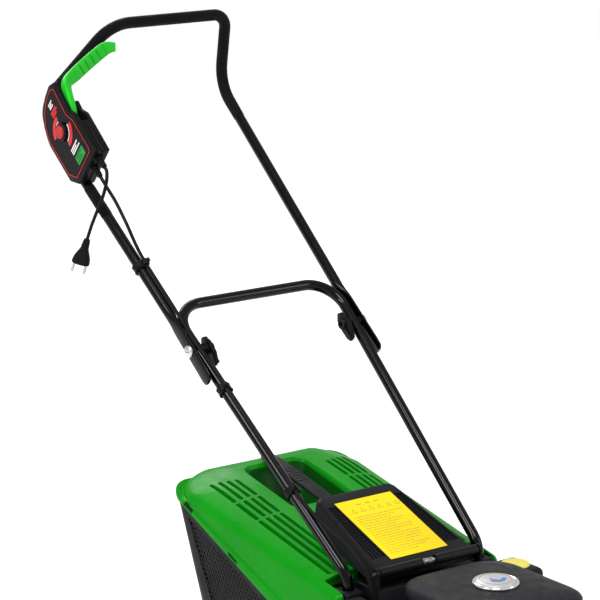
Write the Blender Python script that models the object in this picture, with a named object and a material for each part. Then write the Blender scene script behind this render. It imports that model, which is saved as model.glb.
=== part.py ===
"""A small corded rotary lawn mower with a rear grass box, as separate named pieces.

Metres, +Z up. The front faces -Y, the operator stands on +Y, and the switch box is on the -X side.
The origin is on the ground under the centre of the bounding box.
"""

from math import cos, pi, radians, sin

import bmesh
import bpy
from mathutils import Matrix, Vector

GAP = 0.0003

# Handle: two-piece tube, folded about the X axis through the fold bolts.
TUBE_R = 0.0085
LEG_ANGLE = radians(38.5)
FOLD_Y, FOLD_Z = 0.153, 0.520
UPPER_X, UPPER_SPLAY = 0.1565, 0.041
LOWER_X, LOWER_SPLAY = 0.1476, 0.0593
CROSSBAR_S, ELBOW_S, UPPER_END_S = 0.085, -0.432, -0.061
TONGUE_X, TONGUE_T, TONGUE_W = 0.1611, 0.0050, 0.0122
LOOP_Y, LOOP_TOP_Z = 0.531, 0.9635
BOX_TAPER, BOX_WIDEST_Y = 0.135, 0.17
CROWN_FROM_Y, CROWN_FULL_Y, CROWN_RISE, CROWN_FALL = 0.10, 0.18, 0.0085, 0.85
SOCKET_TOP_Z, SOCKET_BOTTOM_Z = 0.232, 0.150
BOLT_R = 0.0040

# Chassis.
MOTOR_Y = -0.362
DECK_R, DECK_WALL = 0.163, 0.005
DECK_LOW_Z, DECK_SHOULDER_Z, DECK_TOP_Z = 0.042, 0.118, 0.165
TUNNEL_X, TUNNEL_REAR_Y, TUNNEL_TOP_Z = 0.097, -0.157, 0.235
COVER_X, COVER_Y, COVER_LOW_Z, COVER_RIM_Z = 0.098, 0.110, 0.1655, 0.256
FRONT_AXLE_Y, FRONT_WHEEL_R, FRONT_WHEEL_X = -0.4963, 0.065, 0.159
REAR_AXLE_Y, REAR_WHEEL_R, REAR_WHEEL_X = -0.232, 0.078, 0.166
WHEEL_W = 0.032
STUB_R = 0.006
BLADE_R, BLADE_Z = 0.150, 0.055

# Rear flap, hinged at its front edge.
HINGE_Y, HINGE_Z, HINGE_X = -0.216, 0.258, 0.092
FLAP_REAR_Y, FLAP_REAR_Z, FLAP_REAR_X = -0.038, 0.321, 0.073

# Grass box: the lid's top plane and the parting plane between lid and body both rise rearwards.
LID_X, LID_REAR_Y, LID_FRONT_Y = 0.150, 0.208, -0.155
LID_Z0, LID_SLOPE = 0.273, 0.20
PART_Z0, PART_SLOPE = 0.2025, 0.43
BOX_WALL = 0.0028
BOX_LOW_Z = 0.072

CHEEK_X, CHEEK_FRONT_Y = 0.1415, -0.200
HINGE_PIN_R, BARREL_X, PIN_END_X, EAR_IN_X, EAR_R = 0.003, 0.0905, 0.0995, 0.0925, 0.0078
SOCKET_Y, SOCKET_IN_X, SOCKET_OUT_X = -0.185, 0.106, 0.138

# Switch box, in the legs' own frame: s up the leg from the fold, n square to it.
BOX_OUTER_X, BOX_SPLIT_X, BOX_INNER_X = -0.1870, -0.1730, -0.1585
BUTTON_SN, BUTTON_R = (0.425, 0.036), 0.0105
TRIGGER_SN, TRIGGER_X, PIN_R = (0.432, 0.060), -0.1730, 0.002
GLAND_S, MOTOR_GLAND_N, SUPPLY_GLAND_N = 0.322, 0.042, 0.063
SLEEVE_R = 0.0094

# Cables and plug.
CABLE_R, CABLE_STEP, CLIP_HALF = 0.0027, 0.013, 0.006
PLUG_TOP, PLUG_PIN_R = Vector((-0.1845, 0.4020, 0.6520)), 0.0024
BADGE_R = 0.0335

SIDES = (("near", -1), ("far", 1))


# ---------------------------------------------------------------- scene and materials

def clear_scene():
    for obj in list(bpy.data.objects):
        bpy.data.objects.remove(obj)


def material(name, colour, roughness, metallic=0.0):
    found = bpy.data.materials.get(name)
    if found:
        return found
    made = bpy.data.materials.new(name)
    made.use_nodes = True
    shader = made.node_tree.nodes["Principled BSDF"]
    shader.inputs["Base Color"].default_value = (*colour, 1.0)
    shader.inputs["Roughness"].default_value = roughness
    shader.inputs["Metallic"].default_value = metallic
    made.diffuse_color = (*colour, 1.0)
    return made


def palette():
    return {
        "deck_plastic": material("deck_plastic", (0.035, 0.037, 0.040), 0.55),
        "cover_plastic": material("cover_plastic", (0.055, 0.058, 0.064), 0.50),
        "flap_plastic": material("flap_plastic", (0.040, 0.042, 0.046), 0.45),
        "lid_green": material("lid_green", (0.010, 0.330, 0.012), 0.30),
        "mesh_plastic": material("mesh_plastic", (0.045, 0.045, 0.050), 0.60),
        "tube_black": material("tube_black", (0.010, 0.010, 0.011), 0.25),
        "grip_foam": material("grip_foam", (0.016, 0.016, 0.017), 0.85),
        "switch_black": material("switch_black", (0.012, 0.012, 0.013), 0.40),
        "trigger_green": material("trigger_green", (0.010, 0.400, 0.015), 0.40),
        "button_red": material("button_red", (0.550, 0.020, 0.020), 0.40),
        "cable_black": material("cable_black", (0.012, 0.012, 0.013), 0.50),
        "zinc": material("zinc", (0.620, 0.620, 0.610), 0.35, 1.0),
        "steel": material("steel", (0.450, 0.450, 0.460), 0.40, 1.0),
        "chrome": material("chrome", (0.850, 0.860, 0.880), 0.12, 1.0),
        "label_yellow": material("label_yellow", (0.850, 0.650, 0.010), 0.45),
        "cap_yellow": material("cap_yellow", (0.700, 0.620, 0.160), 0.50),
        "tyre_black": material("tyre_black", (0.018, 0.018, 0.019), 0.70),
        "cap_grey": material("cap_grey", (0.100, 0.100, 0.105), 0.45),
    }


# ---------------------------------------------------------------- shape tools

def add(name, mesh, mat, origin=(0.0, 0.0, 0.0)):
    """An object from a mesh in world coordinates, with its origin moved to the given point."""
    mesh.transform(Matrix.Translation(-Vector(origin)))
    obj = bpy.data.objects.new(name, mesh)
    obj.location = origin
    bpy.context.scene.collection.objects.link(obj)
    if mat:
        mesh.materials.append(mat)
    mesh.shade_smooth()
    mesh.set_sharp_from_angle(angle=radians(35))
    return obj


def finished(name, bm):
    bmesh.ops.remove_doubles(bm, verts=bm.verts, dist=1e-6)
    bmesh.ops.recalc_face_normals(bm, faces=bm.faces)
    mesh = bpy.data.meshes.new(name)
    bm.to_mesh(mesh)
    bm.free()
    if mesh_volume(mesh) < 0:
        mesh.flip_normals()
    return mesh


def mesh_volume(mesh):
    mesh.calc_loop_triangles()
    total = 0.0
    for tri in mesh.loop_triangles:
        a, b, c = (mesh.vertices[i].co for i in tri.vertices)
        total += a.dot(b.cross(c))
    return total / 6.0


def loft(name, rings, ring_closed=False):
    """A closed skin through rings of equal length; ring_closed joins the last ring to the first."""
    bm = bmesh.new()
    made = [[bm.verts.new(p) for p in ring] for ring in rings]
    count = len(rings[0])
    pairs = list(zip(made, made[1:]))
    if ring_closed:
        pairs.append((made[-1], made[0]))
    for low, high in pairs:
        for i in range(count):
            j = (i + 1) % count
            bm.faces.new((low[i], low[j], high[j], high[i]))
    if not ring_closed:
        bm.faces.new(made[0])
        bm.faces.new(made[-1])
    return finished(name, bm)


def axes_for(axis):
    """Two unit vectors that make a right-handed frame with the axis."""
    w = Vector(axis).normalized()
    helper = Vector((0, 0, 1)) if abs(w.z) < 0.9 else Vector((0, 1, 0))
    u = helper.cross(w).normalized()
    return u, w.cross(u), w


def turned(name, profile, centre, axis, steps=32):
    """A turned solid from (radius, height) points; the height runs along the axis."""
    u, v, w = axes_for(axis)
    centre = Vector(centre)
    on_axis = profile[0][0] == 0 and profile[-1][0] == 0
    bm = bmesh.new()
    columns = []
    for i in range(steps):
        a = 2 * pi * i / steps
        columns.append([centre + (u * cos(a) + v * sin(a)) * r + w * h for r, h in profile])
    grid = [[bm.verts.new(p) for p in column] for column in columns]
    count = len(profile)
    for i in range(steps):
        j = (i + 1) % steps
        for k in range(count if not on_axis else count - 1):
            m = (k + 1) % count
            quad = (grid[i][k], grid[j][k], grid[j][m], grid[i][m])
            bm.faces.new(quad)
    return finished(name, bm)


def cylinder(name, start, end, radius, steps=24):
    start, end = Vector(start), Vector(end)
    length = (end - start).length
    return turned(name, [(0, 0), (radius, 0), (radius, length), (0, length)], start, end - start, steps)


def box_mesh(name, low, high):
    (x0, y0, z0), (x1, y1, z1) = low, high
    ring = [(x0, y0), (x1, y0), (x1, y1), (x0, y1)]
    return loft(name, [[(x, y, z) for x, y in ring] for z in (z0, z1)])


def rounded_rect(half_x, low_y, high_y, radii, steps=5):
    """Outline of a rectangle; radii are those of the -y corners and of the +y corners."""
    r_low, r_high = radii
    corners = (
        (half_x - r_low, low_y + r_low, r_low, -90),
        (half_x - r_high, high_y - r_high, r_high, 0),
        (-half_x + r_high, high_y - r_high, r_high, 90),
        (-half_x + r_low, low_y + r_low, r_low, 180),
    )
    points = []
    for cx, cy, r, start in corners:
        for i in range(steps + 1):
            a = radians(start + 90 * i / steps)
            points.append((cx + r * cos(a), cy + r * sin(a)))
    return points


def filleted(corners, radii, step=radians(12)):
    """Points along straight runs joined by arcs; radii belong to the inner corners."""
    corners = [Vector(c) for c in corners]
    points = [corners[0]]
    for before, at, after, radius in zip(corners, corners[1:], corners[2:], radii):
        d_in, d_out = (at - before).normalized(), (after - at).normalized()
        turn = d_in.angle(d_out)
        reach = radius * sin(turn / 2) / cos(turn / 2)
        start = at - d_in * reach
        inward = (d_out - d_in * d_in.dot(d_out)).normalized()
        centre = start + inward * radius
        count = max(2, round(turn / step))
        for i in range(count + 1):
            a = turn * i / count
            points.append(centre - inward * radius * cos(a) + d_in * radius * sin(a))
    points.append(corners[-1])
    return points


def tube(name, points, radius, mat, sides=12):
    """A round bar along the points, as a bevelled poly curve with filled caps."""
    curve = bpy.data.curves.new(name, "CURVE")
    curve.dimensions = "3D"
    curve.bevel_depth = radius
    curve.bevel_resolution = (sides - 4) // 2
    curve.use_fill_caps = True
    spline = curve.splines.new("POLY")
    spline.points.add(len(points) - 1)
    for slot, p in zip(spline.points, points):
        slot.co = (*p, 1.0)
    if mat:
        curve.materials.append(mat)
    obj = bpy.data.objects.new(name, curve)
    bpy.context.scene.collection.objects.link(obj)
    return obj


def smooth_route(points, spacing):
    """A Catmull-Rom curve through the route's own points, at about the given spacing."""
    points = [Vector(p) for p in points]
    padded = [2 * points[0] - points[1], *points, 2 * points[-1] - points[-2]]
    route = []
    for a, b, c, d in zip(padded, padded[1:], padded[2:], padded[3:]):
        count = max(1, round((c - b).length / spacing))
        for i in range(count):
            t = i / count
            route.append(0.5 * ((2 * b) + (c - a) * t + (2 * a - 5 * b + 4 * c - d) * t * t
                                + (3 * b - a - 3 * c + d) * t ** 3))
    route.append(points[-1])
    return route


def swept(name, path, steps=12):
    """Skin along stations of (centre, side, up, half width along side, half height along up)."""
    rings = []
    for centre, side, up, a, b in path:
        rings.append([centre + side * a * cos(2 * pi * i / steps) + up * b * sin(2 * pi * i / steps)
                      for i in range(steps)])
    return loft(name, rings)


def cut(obj, *cutters, operation="DIFFERENCE"):
    """Applies Booleans with meshes as helpers, and removes the helpers."""
    for index, cutter in enumerate(cutters):
        helper = bpy.data.objects.new(f"{obj.name}_cutter_{index}", cutter)
        helper.hide_render = True
        helper.display_type = "WIRE"
        bpy.context.scene.collection.objects.link(helper)
        modifier = obj.modifiers.new(f"cut_{index}", "BOOLEAN")
        modifier.operation = operation
        modifier.object = helper
        modifier.solver = "MANIFOLD"
        bpy.context.view_layer.update()
        result = bpy.data.meshes.new_from_object(
            obj.evaluated_get(bpy.context.evaluated_depsgraph_get()))
        obj.modifiers.remove(modifier)
        materials = list(obj.data.materials)
        obj.data = result
        obj.data.materials.clear()
        for mat in materials:
            obj.data.materials.append(mat)
        bpy.data.objects.remove(helper)
    return obj


def unite(obj, *others):
    return cut(obj, *others, operation="UNION")


def lerp(a, b, t):
    return a + (b - a) * t


def smoothstep(low, high, value):
    t = min(1.0, max(0.0, (value - low) / (high - low)))
    return t * t * (3 - 2 * t)


# ---------------------------------------------------------------- handle geometry

def leg_frame(s, n=0.0):
    """(y, z) of a point s up the legs from the fold axis and n square to them, up and forwards."""
    return (FOLD_Y + s * cos(LEG_ANGLE) - n * sin(LEG_ANGLE),
            FOLD_Z + s * sin(LEG_ANGLE) + n * cos(LEG_ANGLE))


def upper_leg(side, s):
    return Vector((side * (UPPER_X + UPPER_SPLAY * s), *leg_frame(s)))


def lower_leg(side, s):
    return Vector((side * (LOWER_X + LOWER_SPLAY * s), *leg_frame(s)))


def upper_corners():
    """Corner points and bend radii of the upper handle, from the near fold to the far one."""
    corners = [
        upper_leg(-1, 0.080), upper_leg(-1, 0.508), (-0.052, LOOP_Y, LOOP_TOP_Z),
        (0.171, LOOP_Y, LOOP_TOP_Z), upper_leg(1, 0.519), upper_leg(1, 0.080),
    ]
    return corners, [0.065, 0.085, 0.026, 0.060]


def lower_corners():
    foot = lower_leg(-1, ELBOW_S)
    near = [(foot.x, foot.y, SOCKET_BOTTOM_Z), foot, lower_leg(-1, CROSSBAR_S)]
    far = [(-p[0], p[1], p[2]) for p in reversed(near)]
    return near + far, [0.040, 0.050, 0.050, 0.040]


def upper_path():
    return filleted(*upper_corners())


def carried_frames(path, first_side):
    """Side and up vectors along a path, carried without twist from the first side vector."""
    frames = []
    side = Vector(first_side)
    for i, point in enumerate(path):
        before, after = path[max(i - 1, 0)], path[min(i + 1, len(path) - 1)]
        along = (after - before).normalized()
        side = (side - along * side.dot(along)).normalized()
        frames.append((point, side, along.cross(side)))
    return frames


def tongue_stations(side):
    """Stations from the flattened tip of an upper leg up to its round tube."""
    along = Vector((0, cos(LEG_ANGLE), sin(LEG_ANGLE)))
    across = Vector((side, 0, 0))
    up = along.cross(across)
    stations = []
    for s, width in ((UPPER_END_S, 0.60), (UPPER_END_S + 0.003, 0.84), (UPPER_END_S + 0.009, 1.0),
                     (-0.030, 1.0), (0.000, 1.0), (0.030, 1.0), (0.044, 1.0), (0.053, 1.0),
                     (0.062, 1.0), (0.071, 1.0)):
        f = smoothstep(0.044, 0.080, s)
        x = side * lerp(TONGUE_X, UPPER_X + UPPER_SPLAY * s, f)
        centre = Vector((x, *leg_frame(s)))
        stations.append((centre, across, up, lerp(TONGUE_T / 2, TUBE_R, f),
                         width * lerp(TONGUE_W, TUBE_R, f)))
    return stations


def make_upper_handle(mat):
    near, far = tongue_stations(-1), tongue_stations(1)
    path = upper_path()
    middle = [(p, side, up, TUBE_R, TUBE_R) for p, side, up in carried_frames(path, (-1, 0, 0))]
    far = [(c, a, -u, w, h) for c, a, u, w, h in reversed(far)]
    obj = add("upper_handle_tube", swept("upper_handle_tube", near + middle + far), mat)
    holes = [cylinder("hole", (side * 0.150, FOLD_Y, FOLD_Z), (side * 0.172, FOLD_Y, FOLD_Z),
                      BOLT_R + GAP, 16) for _, side in SIDES]
    return cut(obj, *holes)


def make_lower_handle(mat):
    path = filleted(*lower_corners())
    stations = [(p, side, up, TUBE_R, TUBE_R) for p, side, up in carried_frames(path, (-1, 0, 0))]
    obj = add("lower_handle_tube", swept("lower_handle_tube", stations), mat)
    holes = [cylinder("hole", (side * 0.130, FOLD_Y, FOLD_Z), (side * 0.165, FOLD_Y, FOLD_Z),
                      BOLT_R + GAP, 16) for _, side in SIDES]
    return cut(obj, *holes)


def make_fold_joint(pal, name, side):
    """Saddle spacer, cup-head bolt and wing lever of one side of the fold."""
    inner_x, outer_x = LOWER_X - TUBE_R, TONGUE_X + TONGUE_T / 2
    def at(x):
        return side * x, FOLD_Y, FOLD_Z

    out = (side, 0, 0)
    spacer = add(f"fold_spacer_{name}",
                 turned("spacer", [(0, 0), (0.0080, 0), (0.0080, 0.0096), (0, 0.0096)],
                        at(0.1487), out, 24), pal["switch_black"])
    tube_cutter = cylinder("saddle", lower_leg(side, -0.03), lower_leg(side, 0.03),
                           TUBE_R + GAP, 24)
    cut(spacer, tube_cutter, cylinder("hole", at(0.14), at(0.17), BOLT_R + GAP, 16))
    # The saddle keeps only its outer half, beyond the tube's axis.
    cut(spacer, box_mesh("trim", *sorted_box((side * 0.120, FOLD_Y - 0.02, FOLD_Z - 0.02),
                                             (side * 0.1528, FOLD_Y + 0.02, FOLD_Z + 0.02))))
    radius, height = 0.0097, 0.0046
    start = inner_x - 0.0110
    length = outer_x + GAP - start
    profile = [(0, 0), (BOLT_R, 0), (BOLT_R, length), (radius, length)]
    profile += [(r, length + 0.0008 + h) for r, h in
                ((radius, 0.0), (radius * 0.92, height * 0.40), (radius * 0.70, height * 0.72),
                 (radius * 0.38, height * 0.93), (0, height))]
    bolt = add(f"fold_bolt_{name}", turned("bolt", profile, at(start), out, 24), pal["zinc"])
    lever = make_wing_lever(pal, name, side, inner_x)
    return spacer, bolt, lever


def sorted_box(a, b):
    return (tuple(min(p, q) for p, q in zip(a, b)), tuple(max(p, q) for p, q in zip(a, b)))


def make_wing_lever(pal, name, side, inner_x):
    """Hub with two unequal wings, screwed on the bolt from inside; it points down along the leg."""
    hub_outer = inner_x - 0.0010
    hub = turned("wing_hub", [(0, 0), (0.0085, 0), (0.0095, 0.003), (0.0095, 0.0125), (0, 0.0125)],
                 (side * (hub_outer - 0.0125), FOLD_Y, FOLD_Z), (side, 0, 0), 24)
    lever = add(f"wing_lever_{name}", hub, pal["switch_black"], (side * hub_outer, FOLD_Y, FOLD_Z))
    x_in, x_out = side * (hub_outer - 0.0170), side * (hub_outer - 0.0040)
    for reach, sign in ((0.030, -1), (0.021, 1)):
        rings = []
        for s, half, lift in ((0.002, 0.0050, 0.0), (reach * 0.6, 0.0042, 0.002),
                              (reach, 0.0030, 0.004)):
            ring = []
            for x, n in ((x_in, -half), (x_out, -half), (x_out, half), (x_in, half)):
                y, z = leg_frame(sign * s, n + lift)
                ring.append((x - side * 0.004 * (s > 0.01), y, z))
            rings.append(ring)
        unite(lever, loft("wing", rings))
    hole = cylinder("hole", (side * (inner_x - 0.0114), FOLD_Y, FOLD_Z),
                    (side * (inner_x + 0.01), FOLD_Y, FOLD_Z), BOLT_R + GAP, 16)
    return cut(lever, hole)



def make_grips(mat):
    """Foam-like sleeves: a short one below the switch box, and a long one over the loop."""
    path = upper_path()
    total = path_length(path)
    make_sleeve("grip_sleeve_leg", path_slice(path, 0.197, 0.256), mat)
    make_sleeve("grip_sleeve_loop", path_slice(path, 0.452, total - 0.363), mat)


def path_slice(path, start, end):
    """The stretch of a path between two lengths along it."""
    found, run = [], 0.0
    for a, b in zip(path, path[1:]):
        step = (b - a).length
        if run <= start < run + step:
            found.append(a.lerp(b, (start - run) / step))
        if start < run + step < end:
            found.append(b)
        if run < end <= run + step:
            found.append(a.lerp(b, (end - run) / step))
        run += step
    return [p for i, p in enumerate(found) if i == 0 or (p - found[i - 1]).length > 1e-5]


def path_length(path):
    return sum((b - a).length for a, b in zip(path, path[1:]))


def make_sleeve(name, path, mat, steps=12):
    """A thin sleeve over the upper tube, as a hollow skin around the path."""
    rings = {}
    for radius in (SLEEVE_R, TUBE_R + GAP):
        rings[radius] = [[p + (side * cos(2 * pi * i / steps) + up * sin(2 * pi * i / steps)) * radius
                          for i in range(steps)] for p, side, up in carried_frames(path, (-1, 0, 0))]
    skin = rings[SLEEVE_R] + rings[TUBE_R + GAP][::-1]
    return add(name, loft(name, skin, ring_closed=True), mat)


def make_clip(name, side, s, leg, cable, mat):
    """A band round a leg with a small loop round the cable, both drilled along the leg."""
    low, high = leg(side, s - CLIP_HALF), leg(side, s + CLIP_HALF)
    along = (high - low).normalized()
    clip = add(name, cylinder(name, low, high, TUBE_R + 0.0032, 20), mat)
    loop_low = Vector(cable) - along * CLIP_HALF * 0.9
    loop_high = Vector(cable) + along * CLIP_HALF * 0.9
    unite(clip, cylinder("loop", loop_low, loop_high, CABLE_R + 0.0030, 14))
    bore = cylinder("bore", leg(side, s - 0.03), leg(side, s + 0.03), TUBE_R + GAP, 20)
    return cut(clip, bore, cylinder("cable_bore", loop_low - along * 0.01, loop_high + along * 0.01,
                                    CABLE_R + 0.0006, 10))


# ---------------------------------------------------------------- switch box

def at_leg(x, s, n):
    return Vector((x, *leg_frame(s, n)))


def side_prism(name, outline, x0, x1):
    """A prism along X over an outline given in the legs' (s, n) frame."""
    return loft(name, [[at_leg(x, s, n) for s, n in outline] for x in (x0, x1)])


def box_outline():
    return [(0.364, -0.0125), (0.342, 0.004), (0.342, 0.079), (0.420, 0.081), (0.436, 0.073),
            (0.492, 0.079), (0.500, 0.062), (0.497, 0.038), (0.488, 0.016), (0.470, -0.001),
            (0.452, -0.009), (0.440, -0.0125)]


def make_switch_box(pal):
    """Two shells clamped round the near leg, with bores and pockets for what they hold."""
    path = path_slice(upper_path(), 0.20, 0.50)
    button_at = at_leg(BOX_OUTER_X, *BUTTON_SN)
    pocket = side_prism("pocket", [(0.372, 0.030), (0.398, 0.030), (0.398, 0.056), (0.372, 0.056)],
                        BOX_SPLIT_X - 0.004, BOX_INNER_X - 0.0022)
    shells = []
    for name, x0, x1 in (("switch_shell_outer", BOX_OUTER_X, BOX_SPLIT_X - GAP / 2),
                         ("switch_shell_inner", BOX_SPLIT_X + GAP / 2, BOX_INNER_X)):
        shell = add(name, side_prism(name, box_outline(), x0, x1), pal["switch_black"])
        if name == "switch_shell_outer":
            unite(shell, turned("collar", [(0, 0), (0.0150, 0), (0.0140, 0.0052), (0, 0.0052)],
                                button_at + Vector((0.001, 0, 0)), (-1, 0, 0), 28))
            cut(shell, cylinder("button_bore", button_at + Vector((-0.02, 0, 0)),
                                button_at + Vector((0.0115, 0, 0)), BUTTON_R + 0.0005, 28))
        stations = [(p, a, u, TUBE_R + GAP, TUBE_R + GAP)
                    for p, a, u in carried_frames(path, (-1, 0, 0))]
        slot = side_prism("slot", [(0.409, 0.043), (0.474, 0.047), (0.474, 0.100), (0.405, 0.100)],
                          TRIGGER_X - 0.0068, TRIGGER_X + 0.0068)
        relief = side_prism("relief", [(0.452, 0.0600), (0.520, 0.0530), (0.520, 0.110), (0.452, 0.110)],
                            TRIGGER_X - 0.0075, BOX_INNER_X + 0.01)
        pin_bore = cylinder("pin_bore", at_leg(BOX_OUTER_X + 0.0033, *TRIGGER_SN),
                            at_leg(BOX_INNER_X - 0.0033, *TRIGGER_SN), PIN_R + GAP, 16)
        cut(shell, swept("tube_bore", stations, 16), slot, relief, pin_bore, pocket.copy())
        shells.append(shell)
    switch = [(0.3735, 0.0315), (0.3965, 0.0315), (0.3965, 0.0545), (0.3735, 0.0545)]
    add("micro_switch", side_prism("micro_switch", switch, BOX_SPLIT_X - 0.0035, BOX_INNER_X - 0.0027),
        pal["switch_black"])
    return shells


def make_button(pal):
    face = at_leg(BOX_OUTER_X - 0.0085, *BUTTON_SN)
    profile = [(0, 0), (BUTTON_R - 0.001, 0), (BUTTON_R, 0.001), (BUTTON_R, 0.0140), (0, 0.0140)]
    return add("safety_button", turned("safety_button", profile, face, (1, 0, 0), 28),
               pal["button_red"], face)


def trigger_stations():
    """The trigger: an upright root in the box, then a broad arm beside the slanting tube."""
    route = [
        (at_leg(TRIGGER_X, 0.4235, 0.0515), 0.0054, 0.0060), (at_leg(TRIGGER_X, *TRIGGER_SN), 0.0054, 0.0066),
        (Vector((TRIGGER_X, 0.4590, 0.8516)), 0.0054, 0.0070), (Vector((-0.1725, 0.4690, 0.8675)), 0.0056, 0.0070),
        (Vector((-0.1683, 0.4815, 0.8794)), 0.0074, 0.0062), (Vector((-0.1586, 0.4930, 0.8859)), 0.0098, 0.0046),
        (Vector((-0.1387, 0.5010, 0.8952)), 0.0116, 0.0034), (Vector((-0.1199, 0.5040, 0.9065)), 0.0116, 0.0032),
        (Vector((-0.1010, 0.5050, 0.9183)), 0.0116, 0.0032), (Vector((-0.0841, 0.5040, 0.9287)), 0.0114, 0.0030),
        (Vector((-0.0748, 0.5010, 0.9318)), 0.0085, 0.0026), (Vector((-0.0668, 0.4950, 0.9322)), 0.0040, 0.0022),
    ]
    stations = []
    for i, (point, width, depth) in enumerate(route):
        before, after = route[max(i - 1, 0)][0], route[min(i + 1, len(route) - 1)][0]
        along = (after - before).normalized()
        side = Vector((0, 1, 0)).cross(along).normalized()
        stations.append((point, side, along.cross(side), width, depth))
    return stations


def make_trigger(pal):
    pivot = at_leg(TRIGGER_X, *TRIGGER_SN)
    lever = add("trigger_lever", swept("trigger_lever", trigger_stations(), 16),
                pal["trigger_green"], pivot)
    cut(lever, cylinder("bore", pivot - Vector((0.02, 0, 0)), pivot + Vector((0.02, 0, 0)),
                        PIN_R + GAP, 16))
    pin = cylinder("trigger_pin", at_leg(BOX_OUTER_X + 0.0036, *TRIGGER_SN),
                   at_leg(BOX_INNER_X - 0.0036, *TRIGGER_SN), PIN_R, 16)
    return lever, add("trigger_pin", pin, pal["steel"])


def make_glands(pal):
    """Two stepped strain reliefs under the switch box; the cables leave their lower ends."""
    profile = [(0, 0), (0.0040, 0), (0.0048, 0.007), (0.0062, 0.0075), (0.0062, 0.0195), (0, 0.0195)]
    for name, n in (("gland_motor", MOTOR_GLAND_N), ("gland_supply", SUPPLY_GLAND_N)):
        start = at_leg(BOX_SPLIT_X, GLAND_S, n)
        add(name, turned(name, profile, start, at_leg(0, 1, 0) - at_leg(0, 0, 0), 20),
            pal["switch_black"])


# ---------------------------------------------------------------- cables and plug

def motor_cable_upper_route():
    """From the gland along the upper leg, inside clip 1, to just above the fold."""
    return [at_leg(*p) for p in (
        (BOX_SPLIT_X, GLAND_S - GAP, MOTOR_GLAND_N), (BOX_SPLIT_X, 0.314, MOTOR_GLAND_N),
        (-0.1705, 0.298, 0.0390), (-0.1665, 0.274, 0.0345),
        (-0.1640, 0.236, 0.0270), (-0.1615, 0.206, 0.0180), (-0.1595, 0.184, 0.0128),
        (-0.1580, 0.160, 0.0112), (-0.1562, 0.110, 0.0112), (-0.1550, 0.075, 0.0112),
        (-0.1545, 0.046, 0.0108))]


def motor_cable_lower_route():
    """From just above the fold down the lower leg, through clips 2 and 3, to the deck gland."""
    return [at_leg(*p) for p in (
        (-0.1545, 0.0457, 0.0108), (-0.1545, 0.010, 0.0106), (-0.1500, -0.028, 0.0112),
        (-0.1486, -0.048, 0.0114),
        (-0.1481, -0.080, 0.0119), (-0.1440, -0.140, 0.0120), (-0.1390, -0.210, 0.0122),
        (-0.1345, -0.280, 0.0122))] + [Vector(p) for p in (
            (-0.1285, -0.104, 0.3300), (-0.1210, -0.142, 0.3080), (-0.1130, -0.180, 0.2880),
            (-0.1085, -0.208, 0.2620), (-0.1070, -0.224, 0.2300), (-0.1070, -0.2285, 0.2030),
            (-0.1070, -0.229, 0.1855))]


def supply_route():
    """The short supply lead: out of its gland, round the outside of the leg, down to the plug."""
    start = at_leg(BOX_SPLIT_X, GLAND_S - GAP, SUPPLY_GLAND_N)
    straight = at_leg(BOX_SPLIT_X, GLAND_S - 0.006, SUPPLY_GLAND_N)
    return [start, straight] + [Vector(p) for p in (
        (-0.1755, 0.3560, 0.7560), (-0.1800, 0.3545, 0.7390), (-0.1835, 0.3605, 0.7190),
        (-0.1850, 0.3740, 0.6970), (-0.1850, 0.3890, 0.6740))] + [PLUG_TOP]


def plug_frame():
    """Unit vectors of the plug: along the pins, across them, and through the flat body."""
    along = Vector((0.0, 0.46, -0.89)).normalized()
    across = Vector((0.785, -0.546, -0.298))
    across = (across - along * across.dot(along)).normalized()
    return along, across, along.cross(across)


def make_plug(pal):
    along, across, through = plug_frame()
    start = PLUG_TOP + along * GAP
    stations = []
    for d, a, b in ((0.0, 0.0040, 0.0038), (0.013, 0.0048, 0.0044), (0.0135, 0.0060, 0.0052),
                    (0.017, 0.0062, 0.0054), (0.0175, 0.0066, 0.0058), (0.030, 0.0120, 0.0068),
                    (0.038, 0.0138, 0.0074), (0.043, 0.0143, 0.0078), (0.0465, 0.0143, 0.0078)):
        stations.append((start + along * d, across, through, a, b))
    add("plug_body", swept("plug_body", stations, 20), pal["cable_black"])
    face = start + along * (0.0465 + GAP)
    for name, sign in (("plug_pin_left", -1), ("plug_pin_right", 1)):
        root = face + across * sign * 0.0095
        profile = [(0, 0), (PLUG_PIN_R, 0), (PLUG_PIN_R, 0.0175), (PLUG_PIN_R * 0.6, 0.019), (0, 0.019)]
        add(name, turned(name, profile, root, along, 12), pal["chrome"])


def make_cables(pal):
    mat = pal["cable_black"]
    tube("motor_cable_upper", smooth_route(motor_cable_upper_route(), CABLE_STEP), CABLE_R, mat, 8)
    tube("motor_cable_lower", smooth_route(motor_cable_lower_route(), CABLE_STEP), CABLE_R, mat, 8)
    tube("supply_cord", smooth_route(supply_route(), CABLE_STEP), CABLE_R, mat, 8)
    make_plug(pal)
    make_clip("cable_clip_upper", -1, 0.168, upper_leg, at_leg(-0.1586, 0.168, 0.0114), mat)
    make_clip("cable_clip_middle", -1, -0.080, lower_leg, at_leg(-0.1481, -0.080, 0.0119), mat)
    make_clip("cable_clip_lower", -1, -0.276, lower_leg, at_leg(-0.1348, -0.276, 0.0122), mat)
    profile = [(0, 0), (0.0075, 0), (0.0075, 0.006), (0.0050, 0.008), (0.0042, 0.0195), (0, 0.0195)]
    add("gland_deck", turned("gland_deck", profile, (-0.1070, -0.229, DECK_TOP_Z + GAP), (0, 0, 1), 20),
        pal["cable_black"])


# ---------------------------------------------------------------- chassis

def yz_prism(name, outline, x0, x1):
    return loft(name, [[(x, y, z) for y, z in outline] for x in (x0, x1)])


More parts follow.
